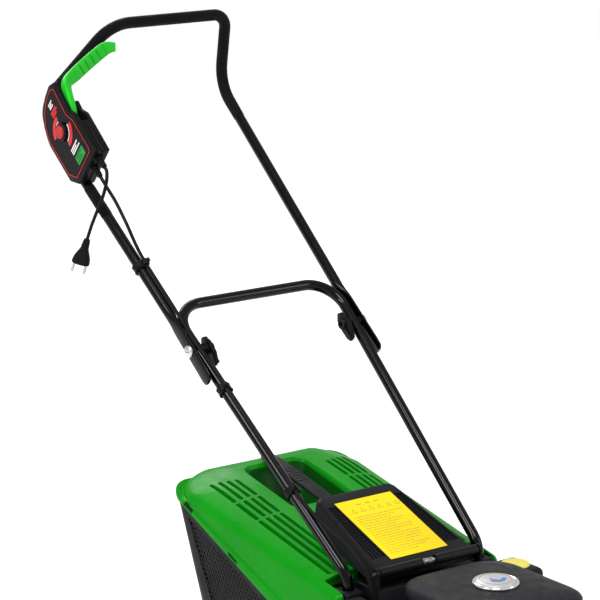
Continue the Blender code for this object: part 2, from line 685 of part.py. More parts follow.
def make_deck(mat):
    """Round blade chamber, rear tunnel, handle sockets, shoulders and axle pods, as one moulding."""
    outer = [(0, DECK_LOW_Z), (DECK_R, DECK_LOW_Z), (DECK_R, DECK_SHOULDER_Z),
             (DECK_R - 0.006, DECK_SHOULDER_Z + 0.012), (0.130, DECK_TOP_Z), (0, DECK_TOP_Z)]
    deck = add("deck_housing", turned("deck_housing", outer, (0, MOTOR_Y, 0), (0, 0, 1), 48), mat)
    tunnel = [(MOTOR_Y, 0.060), (TUNNEL_REAR_Y, 0.060), (TUNNEL_REAR_Y, TUNNEL_TOP_Z),
              (-0.224, TUNNEL_TOP_Z), (-0.2445, DECK_TOP_Z), (MOTOR_Y, DECK_TOP_Z)]
    unite(deck, yz_prism("tunnel", tunnel, -TUNNEL_X, TUNNEL_X))
    for _, side in SIDES:
        blocks = (
            ((side * SOCKET_IN_X, SOCKET_Y - 0.0195, 0.052), (side * SOCKET_OUT_X, SOCKET_Y + 0.0195, SOCKET_TOP_Z)),
            ((side * 0.088, -0.262, 0.054), (side * (SOCKET_OUT_X + 0.001), -0.1645, DECK_TOP_Z - 0.001)),
            ((side * 0.118, -0.280, 0.160), (side * 0.172, -0.2075, 0.231)),
            ((side * 0.100, FRONT_AXLE_Y - 0.024, 0.046), (side * 0.152, FRONT_AXLE_Y + 0.024, 0.108)),
            ((side * 0.130, REAR_AXLE_Y - 0.017, 0.056), (side * 0.160, REAR_AXLE_Y + 0.017, 0.104)),
            ((side * EAR_IN_X, HINGE_Y - EAR_R, TUNNEL_TOP_Z - 0.004),
             (side * (TUNNEL_X - 0.0004), HINGE_Y + EAR_R, HINGE_Z)),
        )
        for a, b in blocks:
            unite(deck, box_mesh("block", *sorted_box(a, b)))
        unite(deck, cylinder("ear", (side * (EAR_IN_X + 0.0001), HINGE_Y, HINGE_Z),
                             (side * (TUNNEL_X - 0.0005), HINGE_Y, HINGE_Z), EAR_R + 0.0002, 20))
    chamber = [(0, 0.030), (DECK_R - DECK_WALL, 0.030), (DECK_R - DECK_WALL, 0.112),
               (0.124, 0.145), (0, 0.145)]
    inside = [(MOTOR_Y, 0.052), (-0.140, 0.052), (-0.140, 0.229), (-0.2205, 0.229), (-0.240, 0.143),
              (MOTOR_Y, 0.143)]
    cut(deck, turned("chamber", chamber, (0, MOTOR_Y, 0), (0, 0, 1), 48),
        yz_prism("tunnel_inside", inside, -TUNNEL_X + 0.006, TUNNEL_X - 0.006),
        cylinder("shaft_hole", (0, MOTOR_Y, 0.10), (0, MOTOR_Y, 0.20), 0.010),
        cylinder("pin_hole", (-0.12, HINGE_Y, HINGE_Z), (0.12, HINGE_Y, HINGE_Z), HINGE_PIN_R + GAP, 16))
    for _, side in SIDES:
        socket = lower_leg(side, ELBOW_S)
        cut(deck,
            cylinder("socket", (socket.x, socket.y, SOCKET_BOTTOM_Z - GAP), (socket.x, socket.y, 0.25),
                     TUBE_R + GAP),
            cylinder("foot_screw_hole", (side * (SOCKET_OUT_X + 0.01), SOCKET_Y, 0.205),
                     (socket.x, SOCKET_Y, 0.205), 0.0023, 12),
            stub_cylinder("front", side, 0.0, STUB_R + GAP), stub_cylinder("rear", side, 0.0, STUB_R + GAP))
    return deck


def axle_of(end):
    return {"front": (FRONT_AXLE_Y, FRONT_WHEEL_R, FRONT_WHEEL_X, 0.128),
            "rear": (REAR_AXLE_Y, REAR_WHEEL_R, REAR_WHEEL_X, 0.136)}[end]


def stub_cylinder(end, side, short, radius):
    """The stub axle's shape, or its bore when short is zero."""
    y, z, wheel_x, root_x = axle_of(end)
    return cylinder("stub", (side * (root_x + short), y, z), (side * (wheel_x + 0.0250), y, z), radius, 20)


def make_wheels(pal):
    for end in ("front", "rear"):
        y, radius, wheel_x, _ = axle_of(end)
        for name, side in SIDES:
            add(f"stub_axle_{end}_{name}", stub_cylinder(end, side, GAP, STUB_R), pal["steel"])
            bore, width = STUB_R + GAP, WHEEL_W
            profile = [(bore, 0.001), (0.020, 0.001), (0.022, 0.008), (radius - 0.014, 0.008),
                       (radius - 0.012, 0.0), (radius - 0.003, 0.0), (radius, 0.004),
                       (radius, width - 0.004), (radius - 0.003, width), (radius - 0.012, width),
                       (radius - 0.015, width - 0.009), (0.024, width - 0.010), (0.022, width - 0.0065),
                       (bore, width - 0.0065)]
            centre = (side * wheel_x, y, radius)
            add(f"wheel_{end}_{name}", turned("wheel", profile, centre, (side, 0, 0), 36),
                pal["tyre_black"], centre)
            low = width - 0.0065 + GAP
            cap = [(0, low), (0.0200, low), (0.0200, low + 0.003), (0.016, low + 0.006), (0, low + 0.0072)]
            add(f"wheel_cap_{end}_{name}", turned("cap", cap, centre, (side, 0, 0), 28),
                pal["cap_grey"], centre)


def make_motor(pal):
    """Cover, badge, motor can and what turns: shaft, fan hub, blade and blade bolt."""
    levels = ((COVER_LOW_Z + GAP, 0.000), (COVER_RIM_Z - 0.010, 0.002), (COVER_RIM_Z, 0.006),
              (COVER_RIM_Z + 0.004, 0.016), (COVER_RIM_Z + 0.009, 0.040), (COVER_RIM_Z + 0.012, 0.064))
    def ring(z, inset):
        radius = max(0.050 - inset * 0.4, 0.012)
        outline = rounded_rect(COVER_X - inset, MOTOR_Y - COVER_Y + inset, MOTOR_Y + COVER_Y - inset,
                               (radius, radius), 6)
        return [(x, y, z) for x, y in outline]
    cover = add("motor_cover", loft("motor_cover", [ring(z, i) for z, i in levels]), pal["cover_plastic"])
    inner = [ring(z - (0.0032 if k else 0.02), i + 0.003) for k, (z, i) in enumerate(levels)]
    cut(cover, loft("cover_inside", inner))
    base = COVER_RIM_Z + 0.012 + GAP
    dome = [(0, base), (BADGE_R, base), (BADGE_R, base + 0.002), (BADGE_R * 0.90, base + 0.0040),
            (BADGE_R * 0.70, base + 0.0056), (BADGE_R * 0.40, base + 0.0068), (0, base + 0.0072)]
    add("cover_badge", turned("cover_badge", dome, (0, MOTOR_Y - 0.004, 0), (0, 0, 1), 40), pal["chrome"])
    centre = (0, MOTOR_Y, 0)
    can = [(0.0075, DECK_TOP_Z + GAP), (0.058, DECK_TOP_Z + GAP), (0.058, 0.238), (0.050, 0.246),
           (0, 0.246), (0, 0.212), (0.0075, 0.212)]
    add("motor_can", solid_of_revolution("motor_can", can, centre), pal["steel"])
    add("motor_shaft", cylinder("motor_shaft", (0, MOTOR_Y, 0.0605), (0, MOTOR_Y, 0.208), STUB_R),
        pal["steel"], centre)
    hub = [(STUB_R + GAP, 0.0600), (0.048, 0.0600), (0.048, 0.064), (0.020, 0.070), (0.018, 0.128),
           (STUB_R + GAP, 0.128)]
    add("blade_fan_hub", turned("blade_fan_hub", hub, centre, (0, 0, 1), 28), pal["deck_plastic"], centre)
    make_blade(pal)
    bolt = [(0, 0.0440), (0.0095, 0.0440), (0.0095, 0.0517), (0.0040, 0.0517), (0.0040, 0.0602), (0, 0.0602)]
    add("blade_bolt", turned("blade_bolt", bolt, centre, (0, 0, 1), 6), pal["zinc"], centre)


def solid_of_revolution(name, profile, centre):
    """A turned can with a blind bore: an outer solid less an inner cylinder."""
    outer = [(0, profile[0][1])] + profile[1:5]
    obj_mesh = turned(name, outer, centre, (0, 0, 1), 32)
    helper = bpy.data.objects.new("can_helper", obj_mesh)
    bpy.context.scene.collection.objects.link(helper)
    low, high = profile[0][1] - 0.01, profile[-1][1]
    x, y, z = centre
    cut(helper, cylinder("bore", (x, y, z + low), (x, y, z + high), profile[0][0]))
    mesh = helper.data
    bpy.data.objects.remove(helper)
    return mesh


def make_blade(pal):
    """A straight bar with turned-up trailing tips and a centre hole."""
    half, thick = 0.0225, 0.003
    sections = ((-BLADE_R, 0.010), (-0.118, 0.010), (-0.105, 0.0), (0.105, 0.0), (0.118, 0.010), (BLADE_R, 0.010))
    rings = []
    for x, lift in sections:
        rear_lift = lift if x > 0 else 0.0
        front_lift = lift if x < 0 else 0.0
        low = [(x, -half, front_lift), (x, -half * 0.35, 0), (x, half * 0.35, 0), (x, half, rear_lift)]
        high = [(px, py, pz + thick) for px, py, pz in reversed(low)]
        rings.append([(px, MOTOR_Y + py, 0.0522 + pz) for px, py, pz in low + high])
    blade = add("cutting_blade", loft("cutting_blade", rings), pal["steel"], (0, MOTOR_Y, 0))
    return cut(blade, cylinder("hole", (0, MOTOR_Y, 0.04), (0, MOTOR_Y, 0.07), 0.0045, 16))


def make_feet_and_labels(pal):
    for name, side in SIDES:
        socket = lower_leg(side, ELBOW_S)
        profile = [(0, 0), (0.0050, 0), (0.0050, 0.0030), (0.0020, 0.0032), (0.0020, 0.0100), (0, 0.0100)]
        add(f"foot_screw_{name}",
            turned("foot_screw", profile, (side * (SOCKET_OUT_X + 0.0032 + GAP), SOCKET_Y, 0.205),
                   (-side, 0, 0), 16),
            pal["zinc"])
    dome = [(0, 0), (0.0220, 0), (0.0210, 0.0028), (0.0140, 0.0052), (0, 0.0060)]
    add("deck_sticker", turned("deck_sticker", dome, (0.1430, -0.2440, 0.231 + GAP), (0, 0, 1), 28),
        pal["cap_yellow"])


# ---------------------------------------------------------------- rear flap

def flap_top(y):
    return HINGE_Z + (y - HINGE_Y) * (FLAP_REAR_Z - HINGE_Z) / (FLAP_REAR_Y - HINGE_Y)


def lid_plane(y):
    return LID_Z0 + LID_SLOPE * y


def flap_ring(front_y, inset, height):
    """Four-sided ring with rounded rear corners; the height is a function of y."""
    def half(y):
        t = (y - HINGE_Y) / (FLAP_REAR_Y - HINGE_Y)
        return lerp(HINGE_X - 0.0015, FLAP_REAR_X, t) - inset
    rear = FLAP_REAR_Y - max(inset, -0.004)
    radius = 0.012
    right = [(half(front_y), front_y), (half(-0.120), -0.120)]
    for i in range(4):
        a = radians(90 * i / 3)
        right.append((half(rear) - radius + radius * cos(a), rear - radius + radius * sin(a)))
    outline = right + [(-x, y) for x, y in reversed(right)]
    return [(x, y, height(y)) for x, y in outline]


def make_flap(pal):
    """A hood-like guard over the discharge, open below, with a barrel along its front edge."""
    def rest(y):
        return lid_plane(y) + 0.0105

    shell = loft("rear_flap", [flap_ring(-0.2105, -0.006, rest), flap_ring(-0.2105, 0.000, flap_top),
                               flap_ring(-0.2105, 0.006, lambda y: flap_top(y) + 0.0012)])
    origin = (0, HINGE_Y, HINGE_Z)
    flap = add("rear_flap", shell, pal["flap_plastic"], origin)
    cut(flap, loft("flap_inside", [flap_ring(-0.204, -0.004, lambda y: rest(y) - 0.02),
                                   flap_ring(-0.204, 0.004, lambda y: flap_top(y) - 0.0032)]))
    unite(flap, cylinder("barrel", (-BARREL_X, HINGE_Y, HINGE_Z), (BARREL_X, HINGE_Y, HINGE_Z), 0.0075, 20))
    cut(flap, box_mesh("spring_gap", (-0.013, HINGE_Y - 0.010, HINGE_Z - 0.010),
                       (0.013, HINGE_Y + 0.0068, HINGE_Z + 0.012)),
        cylinder("pin_bore", (-0.12, HINGE_Y, HINGE_Z), (0.12, HINGE_Y, HINGE_Z), HINGE_PIN_R + GAP, 16),
        *(box_mesh("ear_notch", *sorted_box((side * 0.0914, -0.24, 0.20), (side * 0.12, -0.2064, 0.30)))
          for _, side in SIDES))
    add("flap_hinge_pin", cylinder("flap_hinge_pin", (-PIN_END_X, HINGE_Y, HINGE_Z), (PIN_END_X, HINGE_Y, HINGE_Z),
                                   HINGE_PIN_R, 16), pal["steel"])
    spring_points = []
    turns, per_turn, radius = 6, 12, 0.0047
    for i in range(turns * per_turn + 1):
        a = 2 * pi * i / per_turn
        spring_points.append((-0.0100 + 0.0200 * i / (turns * per_turn), HINGE_Y + radius * cos(a),
                              HINGE_Z + radius * sin(a)))
    tube("flap_spring", spring_points, 0.0008, pal["steel"], 6)
    def top(y):
        return flap_top(y) + 0.0012 + GAP

    slab = [[(x, y, top(y) + lift) for x, y in ((0.052, -0.197), (0.050, -0.062), (-0.050, -0.062), (-0.052, -0.197))]
            for lift in (0, 0.0005)]
    add("flap_label", loft("flap_label", slab), pal["label_yellow"], origin)


# ---------------------------------------------------------------- grass box

def part_plane(y):
    return PART_Z0 + PART_SLOPE * y


def box_ring(half, rear, front, radius, height):
    """A ring of the box or its lid; its sides draw in towards the front, and it may be crowned at the rear."""
    ring = []
    for x, y in rounded_rect(half, front, rear, (0.010, radius), 6):
        ring.append((x * (1 - BOX_TAPER * (BOX_WIDEST_Y - y)), y, height(y)))
    return ring


def rear_crown(x, y):
    """How far the rear edge of the lid rises at its middle and falls at its corners."""
    share = min(1.0, max(0.0, (y - CROWN_FROM_Y) / (CROWN_FULL_Y - CROWN_FROM_Y)))
    return share * (CROWN_RISE - CROWN_FALL * x * x)


def tub_rim(y):
    """Height of the recess's wall over the lid plane: below the lid's skin all round."""
    return 0.0062 - max(0.0, y - 0.150) * 0.05


def make_lid(pal):
    """Sloping shell with flared sides, forward cheeks beside the handle feet, and a hand recess."""
    front = CHEEK_FRONT_Y
    levels = ((0.1680, 0.214, 0.040, part_plane, 0.0005), (0.1600, 0.211, 0.050, lid_plane, -0.0110),
              (0.1525, 0.203, 0.055, lid_plane, -0.0015), (0.1050, 0.160, 0.055, lid_plane, 0.0060),
              (0.0600, 0.120, 0.055, lid_plane, 0.0085))

    def rings(inset, drop, first_drop):
        made = []
        for k, (half, rear, radius, plane, lift) in enumerate(levels):
            lower = first_drop if k == 0 else drop
            ring = box_ring(half - inset, rear - inset, front + inset + (0.03 if k > 2 else 0),
                            radius - inset, lambda y, p=plane, d=lift - lower: p(y) + d)
            if k in (1, 2):
                ring = [(x, y, z + rear_crown(x, y)) for x, y, z in ring]
            made.append(ring)
        return made
    lid = add("box_lid", loft("box_lid", rings(0, 0, 0)), pal["lid_green"])
    cut(lid, loft("lid_inside", rings(BOX_WALL, BOX_WALL, 0.02)))
    cut(lid, box_mesh("foot_notch", (-CHEEK_X, -0.30, 0.05), (CHEEK_X, LID_FRONT_Y, 0.40)))

    def tub(grow, z_up, z_down):
        return loft("tub", [
            box_ring(0.043 + grow, 0.157 + grow, 0.050 - grow, 0.014, lambda y: lid_plane(y) - z_down),
            box_ring(0.057 + grow, 0.172 + grow, 0.034 - grow, 0.018, lambda y: lid_plane(y) + z_up(y))])
    unite(lid, tub(BOX_WALL, tub_rim, 0.046))
    cut(lid, tub(0, lambda y: 0.016, 0.0432))
    return lid


def make_box_body(pal):
    def top(y):
        return part_plane(y) - 0.0004

    body = add("box_body", loft("box_body", [
        box_ring(0.1470, 0.150, -0.1480, 0.037, lambda y: BOX_LOW_Z),
        box_ring(0.1500, 0.154, -0.1500, 0.040, lambda y: BOX_LOW_Z + 0.004),
        box_ring(0.1655, 0.2115, LID_FRONT_Y, 0.040, top)]), pal["mesh_plastic"])
    cut(body, loft("body_inside", [
        box_ring(0.1472, 0.1510, -0.1800, 0.038, lambda y: BOX_LOW_Z + BOX_WALL),
        box_ring(0.1627, 0.2087, -0.1800, 0.038, lambda y: top(y) + 0.004)]))
    frame = [(0.1370, 0.0763), (0.1500, 0.1340), (0.1400, 0.2300)]
    outline = frame + [(-x, z) for x, z in reversed(frame)]
    made = add("box_front_frame", loft("box_front_frame", [[(x, y, z) for x, z in outline]
                                                           for y in (LID_FRONT_Y + 0.0006, LID_FRONT_Y + 0.0056)]),
               pal["flap_plastic"])
    cut(made, box_mesh("mouth", (-0.090, -0.20, 0.084), (0.090, -0.10, 0.220)))
    return body


def make_carry_handle(pal):
    """Flat bar that bridges the lid's hand recess, resting just above the lid at both ends."""
    def z(y):
        return lid_plane(y) + 0.0115

    rings = []
    for y, half, lift, thick in ((0.186, 0.009, 0.0, 0.0022), (0.180, 0.0125, 0.0, 0.0022),
                                 (0.150, 0.0130, 0.0012, 0.0028), (0.060, 0.0130, 0.0012, 0.0028),
                                 (0.026, 0.0125, 0.0, 0.0022), (0.018, 0.010, 0.0, 0.0022)):
        rings.append([(x, y, z(y) + lift + dz) for x, dz in
                      ((half, -thick), (half, thick), (-half, thick), (-half, -thick))])
    return add("box_carry_handle", loft("box_carry_handle", rings), pal["flap_plastic"])


# ---------------------------------------------------------------- main

def main():
    clear_scene()
    pal = palette()
    make_deck(pal["deck_plastic"])
    make_wheels(pal)
    make_motor(pal)
    make_feet_and_labels(pal)
    make_flap(pal)
    make_lid(pal)
    make_box_body(pal)
    make_carry_handle(pal)
    make_upper_handle(pal["tube_black"])
    make_lower_handle(pal["tube_black"])
    for name, side in SIDES:
        make_fold_joint(pal, name, side)
    make_grips(pal["grip_foam"])
    make_switch_box(pal)
    make_button(pal)
    make_trigger(pal)
    make_glands(pal)
    make_cables(pal)


main()
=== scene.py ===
"""Looks of a small corded rotary lawn mower with a rear grass box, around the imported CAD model.

Everything is in metres in the model's frame: the front faces -Y, the operator stands on +Y, +Z is up,
and the switch box is on the -X side.
"""

from math import cos, pi, radians, sin

import bmesh
import bpy
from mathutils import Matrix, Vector


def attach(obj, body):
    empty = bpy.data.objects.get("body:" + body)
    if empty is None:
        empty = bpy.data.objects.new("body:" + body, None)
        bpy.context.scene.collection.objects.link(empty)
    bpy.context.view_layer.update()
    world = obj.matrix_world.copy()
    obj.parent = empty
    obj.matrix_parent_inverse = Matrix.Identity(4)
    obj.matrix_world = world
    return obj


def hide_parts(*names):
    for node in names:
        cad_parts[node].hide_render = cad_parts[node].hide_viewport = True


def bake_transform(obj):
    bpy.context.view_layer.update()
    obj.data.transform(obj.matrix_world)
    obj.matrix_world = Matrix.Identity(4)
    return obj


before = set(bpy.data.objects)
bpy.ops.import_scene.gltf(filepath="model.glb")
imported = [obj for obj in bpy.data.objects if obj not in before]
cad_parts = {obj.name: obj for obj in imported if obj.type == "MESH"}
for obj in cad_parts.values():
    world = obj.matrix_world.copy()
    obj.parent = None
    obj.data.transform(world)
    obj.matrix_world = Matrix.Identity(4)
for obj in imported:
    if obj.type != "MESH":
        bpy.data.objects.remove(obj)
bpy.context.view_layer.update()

# ---------------------------------------------------------------- main sizes, most of them the model's

TUBE_R, SLEEVE_R = 0.0085, 0.0094
LEG_ANGLE = radians(38.5)
FOLD_Y, FOLD_Z = 0.153, 0.52
UPPER_X, UPPER_SPLAY = 0.1565, 0.041
LOWER_X, LOWER_SPLAY = 0.1476, 0.0593
CROSSBAR_S, ELBOW_S, UPPER_END_S = 0.085, -0.432, -0.061
TONGUE_X, TONGUE_T, TONGUE_W = 0.1611, 0.005, 0.0122
LOOP_Y, LOOP_TOP_Z = 0.531, 0.9635
BOX_TAPER, BOX_WIDEST_Y = 0.135, 0.17
SOCKET_BOTTOM_Z = 0.15
MOTOR_Y = -0.362
BOX_OUTER_X, BOX_SPLIT_X, BOX_INNER_X = -0.187, -0.173, -0.1585
BUTTON_S, BUTTON_N, BUTTON_R = 0.425, 0.036, 0.0105
TRIGGER_S, TRIGGER_N, TRIGGER_X = 0.432, 0.06, -0.173
GLAND_S, MOTOR_GLAND_N, SUPPLY_GLAND_N = 0.322, 0.042, 0.063
CABLE_R = 0.0027
PLUG_TOP = Vector((-0.1845, 0.402, 0.652))
DECK_GLAND = Vector((-0.107, -0.229, 0.1653))
HINGE_Y, HINGE_Z, HINGE_X = -0.216, 0.258, 0.092
FLAP_REAR_Y, FLAP_REAR_Z, FLAP_REAR_X = -0.038, 0.321, 0.073
LID_Z0, LID_SLOPE, PART_Z0, PART_SLOPE = 0.273, 0.2, 0.2025, 0.43
LID_FRONT_Y, CHEEK_X, CHEEK_FRONT_Y = -0.155, 0.1415, -0.2
LID_HALF = 0.168
PANEL_INNER_X, PANEL_FRONT_X, PANEL_REAR_X = 0.0548, 0.0805, 0.068
PANEL_FRONT_Y, PANEL_REAR_Y = -0.188, -0.066
BOX_LOW_Z = 0.072
FOOT_SCREW_Y, FOOT_SCREW_Z = -0.185, 0.205
BOLT_BORE_R = 0.0043
AXLE_BORE_R = 0.0063
WHEEL_ROWS = (("front", -0.4963, 0.065, 0.159), ("rear", -0.232, 0.078, 0.166))
SIDES = (("near", -1), ("far", 1))


# ---------------------------------------------------------------- camera, lights and floor

def make_stage():
    camera = bpy.data.objects.new("camera", bpy.data.cameras.new("camera"))
    camera.location = (-2.308, -3.024, 1.508)
    pitch, turn = radians(13.35), radians(36.5)
    look = Vector((sin(turn) * cos(pitch), cos(turn) * cos(pitch), -sin(pitch)))
    camera.rotation_euler = look.to_track_quat("-Z", "Y").to_euler()
    camera.data.sensor_width = 36.0
    camera.data.lens = 158.4
    camera.data.clip_end = 200.0
    bpy.context.scene.collection.objects.link(camera)
    bpy.context.scene.camera = camera

    bpy.context.scene.view_settings.view_transform = "Standard"
    world = bpy.data.worlds.new("studio")
    bpy.context.scene.world = world
    world.use_nodes = True
    background = world.node_tree.nodes["Background"]
    background.inputs["Color"].default_value = (1.0, 1.0, 1.0, 1.0)
    background.inputs["Strength"].default_value = 0.6

    sun = bpy.data.lights.new("sun", "SUN")
    sun.energy, sun.angle = 1.7, radians(24)
    sun_obj = bpy.data.objects.new("sun", sun)
    sun_obj.rotation_euler = Vector((0.3, 0.42, -1.0)).to_track_quat("-Z", "Y").to_euler()
    bpy.context.scene.collection.objects.link(sun_obj)
    for name, spot, size, power in (
            ("key", (-2.8, -0.2, 2.6), (0.5, 2.2), 60.0), ("fill", (2.4, -2.6, 1.8), (0.6, 2.0), 22.0),
            ("rim", (0.8, 3.0, 2.6), (2.4, 0.6), 40.0)):
        light = bpy.data.lights.new(name, "AREA")
        light.shape = "RECTANGLE"
        light.size, light.size_y = size
        light.energy = power
        obj = bpy.data.objects.new(name, light)
        obj.location = spot
        obj.rotation_euler = (Vector((0, 0, 0.5)) - Vector(spot)).to_track_quat("-Z", "Y").to_euler()
        bpy.context.scene.collection.objects.link(obj)

    bm = bmesh.new()
    bmesh.ops.create_circle(bm, cap_ends=True, segments=96, radius=60.0)
    mesh = bpy.data.meshes.new("floor")
    bm.to_mesh(mesh)
    bm.free()
    floor = bpy.data.objects.new("floor", mesh)
    floor.location = (0, 0, -0.0006)
    bpy.context.scene.collection.objects.link(floor)
    mesh.materials.append(finish("floor_white", (0.93, 0.93, 0.93), 0.9, tint=0.0, grain=(6.0, 0.0)))


# ---------------------------------------------------------------- materials

def finish(name, colour, rough, metal=0.0, tint=0.08, grain=(900.0, 0.05), blotch=14.0, rough_span=0.08,
           coat=0.0, coat_rough=0.1, pattern="noise", level=0.25, extra=None):
    """A moulded, painted or plated surface: blotchy colour and roughness, and a fine grain as bump."""
    made = bpy.data.materials.new(name)
    made.use_nodes = True
    made.diffuse_color = (*colour, 1.0)
    tree = made.node_tree
    shader = tree.nodes["Principled BSDF"]
    set_inputs(shader, Metallic=metal, Coat_Weight=coat, Coat_Roughness=coat_rough, Specular_IOR_Level=level)
    where = tree.nodes.new("ShaderNodeTexCoord").outputs["Object"]

    cloud = add_node(tree, "TexNoise", Vector=where, Scale=blotch, Detail=4.0)
    ramp = add_node(tree, "ValToRGB", Fac=cloud.outputs["Fac"])
    for entry, position, share in zip(ramp.color_ramp.elements, (0.35, 0.65), (1 - tint, 1 + tint)):
        entry.position = position
        entry.color = (*[min(1.0, c * share) for c in colour], 1.0)

    smear = add_node(tree, "TexNoise", Vector=where, Scale=blotch * 4.0, Detail=6.0)
    span = add_node(tree, "MapRange", Value=smear.outputs["Fac"], From_Min=0.3, From_Max=0.7,
                    To_Min=max(0.03, rough - rough_span), To_Max=min(1.0, rough + rough_span))
    set_inputs(shader, Base_Color=ramp.outputs["Color"], Roughness=span.outputs["Result"])

    scale, strength = grain
    if strength > 0:
        if pattern == "noise":
            fine = add_node(tree, "TexNoise", Vector=where, Scale=scale, Detail=3.0).outputs["Fac"]
        else:
            fine = add_node(tree, "TexVoronoi", Vector=where, Scale=scale).outputs["Distance"]
        add_bump(tree, shader, fine, strength, 0.0006)
    if extra:
        extra(tree, shader, where)
    return made


def set_inputs(node, **values):
    """Sets a node's inputs, by their names with _ for a space; a socket is linked, and a value is stored."""
    for key, value in values.items():
        entry = node.inputs[key.replace("_", " ")]
        if isinstance(value, bpy.types.NodeSocket):
            node.id_data.links.new(value, entry)
        else:
            entry.default_value = value


def add_node(tree, kind, **values):
    node = tree.nodes.new("ShaderNode" + kind)
    set_inputs(node, **values)
    return node


def add_bump(tree, shader, height, strength, distance):
    bump = add_node(tree, "Bump", Height=height, Strength=strength, Distance=distance)
    set_inputs(shader, Normal=bump.outputs["Normal"])


def brushed(tree, shader, where):
    """Fine streaks across a ground metal face."""
    stretch = add_node(tree, "Mapping", Vector=where, Scale=(40.0, 2600.0, 2600.0))
    streak = add_node(tree, "TexNoise", Vector=stretch.outputs["Vector"], Scale=1.0)
    add_bump(tree, shader, streak.outputs["Fac"], 0.12, 0.0003)


def make_materials():
    return {
        "deck": finish("deck_moulding", (0.006, 0.0062, 0.0072), 0.44, level=0.12, grain=(1500, 0.22),
                       pattern="voronoi"),
        "cover": finish("cover_moulding", (0.0085, 0.0088, 0.0105), 0.48, level=0.12, grain=(1700, 0.25),
                        pattern="voronoi"),
        "flap": finish("flap_moulding", (0.006, 0.0062, 0.0072), 0.38, level=0.12, grain=(1500, 0.16),
                       pattern="voronoi"),
        "green": finish("lid_green_moulding", (0.001, 0.215, 0.003), 0.34, level=0.08, grain=(700, 0.03),
                        tint=0.05, coat=0.05, coat_rough=0.18),
        # Painted shade: a darker green for the thin sheet inside the hand recess, copying the shade that falls
        # there; the recess is the lid's own green plastic.
        "shaded_green": finish("recess_painted_shade", (0.001, 0.055, 0.002), 0.4, level=0.1, grain=(700, 0.03),
                             tint=0.05),
        "lever_green": finish("lever_green_moulding", (0.006, 0.4, 0.012), 0.36, grain=(900, 0.05), tint=0.05),
        "net": finish("net_moulding", (0.008, 0.008, 0.0092), 0.55, level=0.1, grain=(1300, 0.2)),
        "tube": finish("powder_coat", (0.0008, 0.0008, 0.001), 0.17, level=0.12, grain=(1100, 0.03), coat=0.15,
                       coat_rough=0.05, rough_span=0.04),
        "foam": finish("foam_sleeve", (0.0024, 0.0024, 0.0028), 0.55, level=0.08, grain=(2600, 0.5),
                       pattern="voronoi", rough_span=0.1, tint=0.15),
        "switch": finish("switch_moulding", (0.003, 0.003, 0.0035), 0.38, level=0.1, grain=(1800, 0.2),
                         pattern="voronoi"),
        "red": finish("button_moulding", (0.36, 0.018, 0.016), 0.38, grain=(900, 0.05), tint=0.06),
        "rubber": finish("cable_sheath", (0.0032, 0.0032, 0.0036), 0.45, level=0.1, grain=(1800, 0.12)),
        "zinc": finish("zinc_plate", (0.66, 0.65, 0.62), 0.32, metal=1.0, grain=(700, 0.08), tint=0.1),
        "steel": finish("bare_steel", (0.42, 0.42, 0.43), 0.36, metal=1.0, grain=(500, 0.0), tint=0.12,
                        extra=brushed),
        "chrome": finish("bright_plate", (0.86, 0.87, 0.89), 0.1, metal=1.0, grain=(300, 0.01), tint=0.03,
                         rough_span=0.03),
        "pin": finish("pin_plate", (0.46, 0.44, 0.4), 0.26, metal=1.0, grain=(400, 0.02), tint=0.05,
                      rough_span=0.04),
        "silver": finish("badge_silver", (0.5, 0.51, 0.54), 0.36, metal=0.5, grain=(300, 0.005), tint=0.03,
                         coat=0.3, coat_rough=0.2),
        "yellow": finish("label_yellow_print", (0.84, 0.6, 0.003), 0.42, grain=(900, 0.03), tint=0.03),
        "print": finish("label_print", (0.42, 0.31, 0.03), 0.5, grain=(900, 0.02), tint=0.1),
        "white": finish("white_print", (0.72, 0.72, 0.72), 0.45, grain=(900, 0.02), tint=0.04),
        "red_print": finish("red_print", (0.56, 0.012, 0.014), 0.42, grain=(900, 0.02), tint=0.06),
        "green_print": finish("green_print", (0.01, 0.25, 0.04), 0.45, grain=(900, 0.02), tint=0.06),
        "plate": finish("switch_plate", (0.003, 0.0018, 0.0018), 0.3, level=0.08, grain=(900, 0.02), tint=0.1),
        "blue": finish("badge_blue", (0.02, 0.13, 0.42), 0.25, grain=(900, 0.02), tint=0.1, coat=1.0),
        "pink": finish("badge_pink", (0.48, 0.09, 0.2), 0.25, grain=(900, 0.02), tint=0.1, coat=1.0),
        "cap_yellow": finish("cap_yellow_moulding", (0.64, 0.56, 0.1), 0.42, grain=(900, 0.06), tint=0.06),
        "tyre": finish("tyre_moulding", (0.01, 0.01, 0.0108), 0.66, level=0.15, grain=(1400, 0.3), tint=0.15),
        "cap": finish("wheel_cap_moulding", (0.07, 0.071, 0.075), 0.4, grain=(1500, 0.15), pattern="voronoi"),
        # Painted shade: the grey sheet behind the basket nets copies the dim inside of the box seen through the
        # holes.
        "shade_lining": finish("shade_behind_net", (0.055, 0.055, 0.058), 0.8, grain=(900, 0.05)),
    }


# ---------------------------------------------------------------- mesh tools

def lerp(a, b, t):
    return a + (b - a) * t


def smoothstep(low, high, value):
    t = min(1.0, max(0.0, (value - low) / (high - low)))
    return t * t * (3 - 2 * t)


def closed_mesh(name, bm):
    bmesh.ops.remove_doubles(bm, verts=bm.verts, dist=1e-6)
    bmesh.ops.recalc_face_normals(bm, faces=bm.faces)
    mesh = bpy.data.meshes.new(name)
    bm.to_mesh(mesh)
    bm.free()
    return mesh


def loft(name, rings, ring_closed=False):
    """A closed skin through rings of equal length; ring_closed joins the last ring to the first."""
    bm = bmesh.new()
    made = [[bm.verts.new(p) for p in ring] for ring in rings]
    pairs = list(zip(made, made[1:])) + ([(made[-1], made[0])] if ring_closed else [])
    for low, high in pairs:
        for i in range(len(low)):
            j = (i + 1) % len(low)
            bm.faces.new((low[i], low[j], high[j], high[i]))
    if not ring_closed:
        bm.faces.new(made[0])
        bm.faces.new(made[-1])
    return closed_mesh(name, bm)


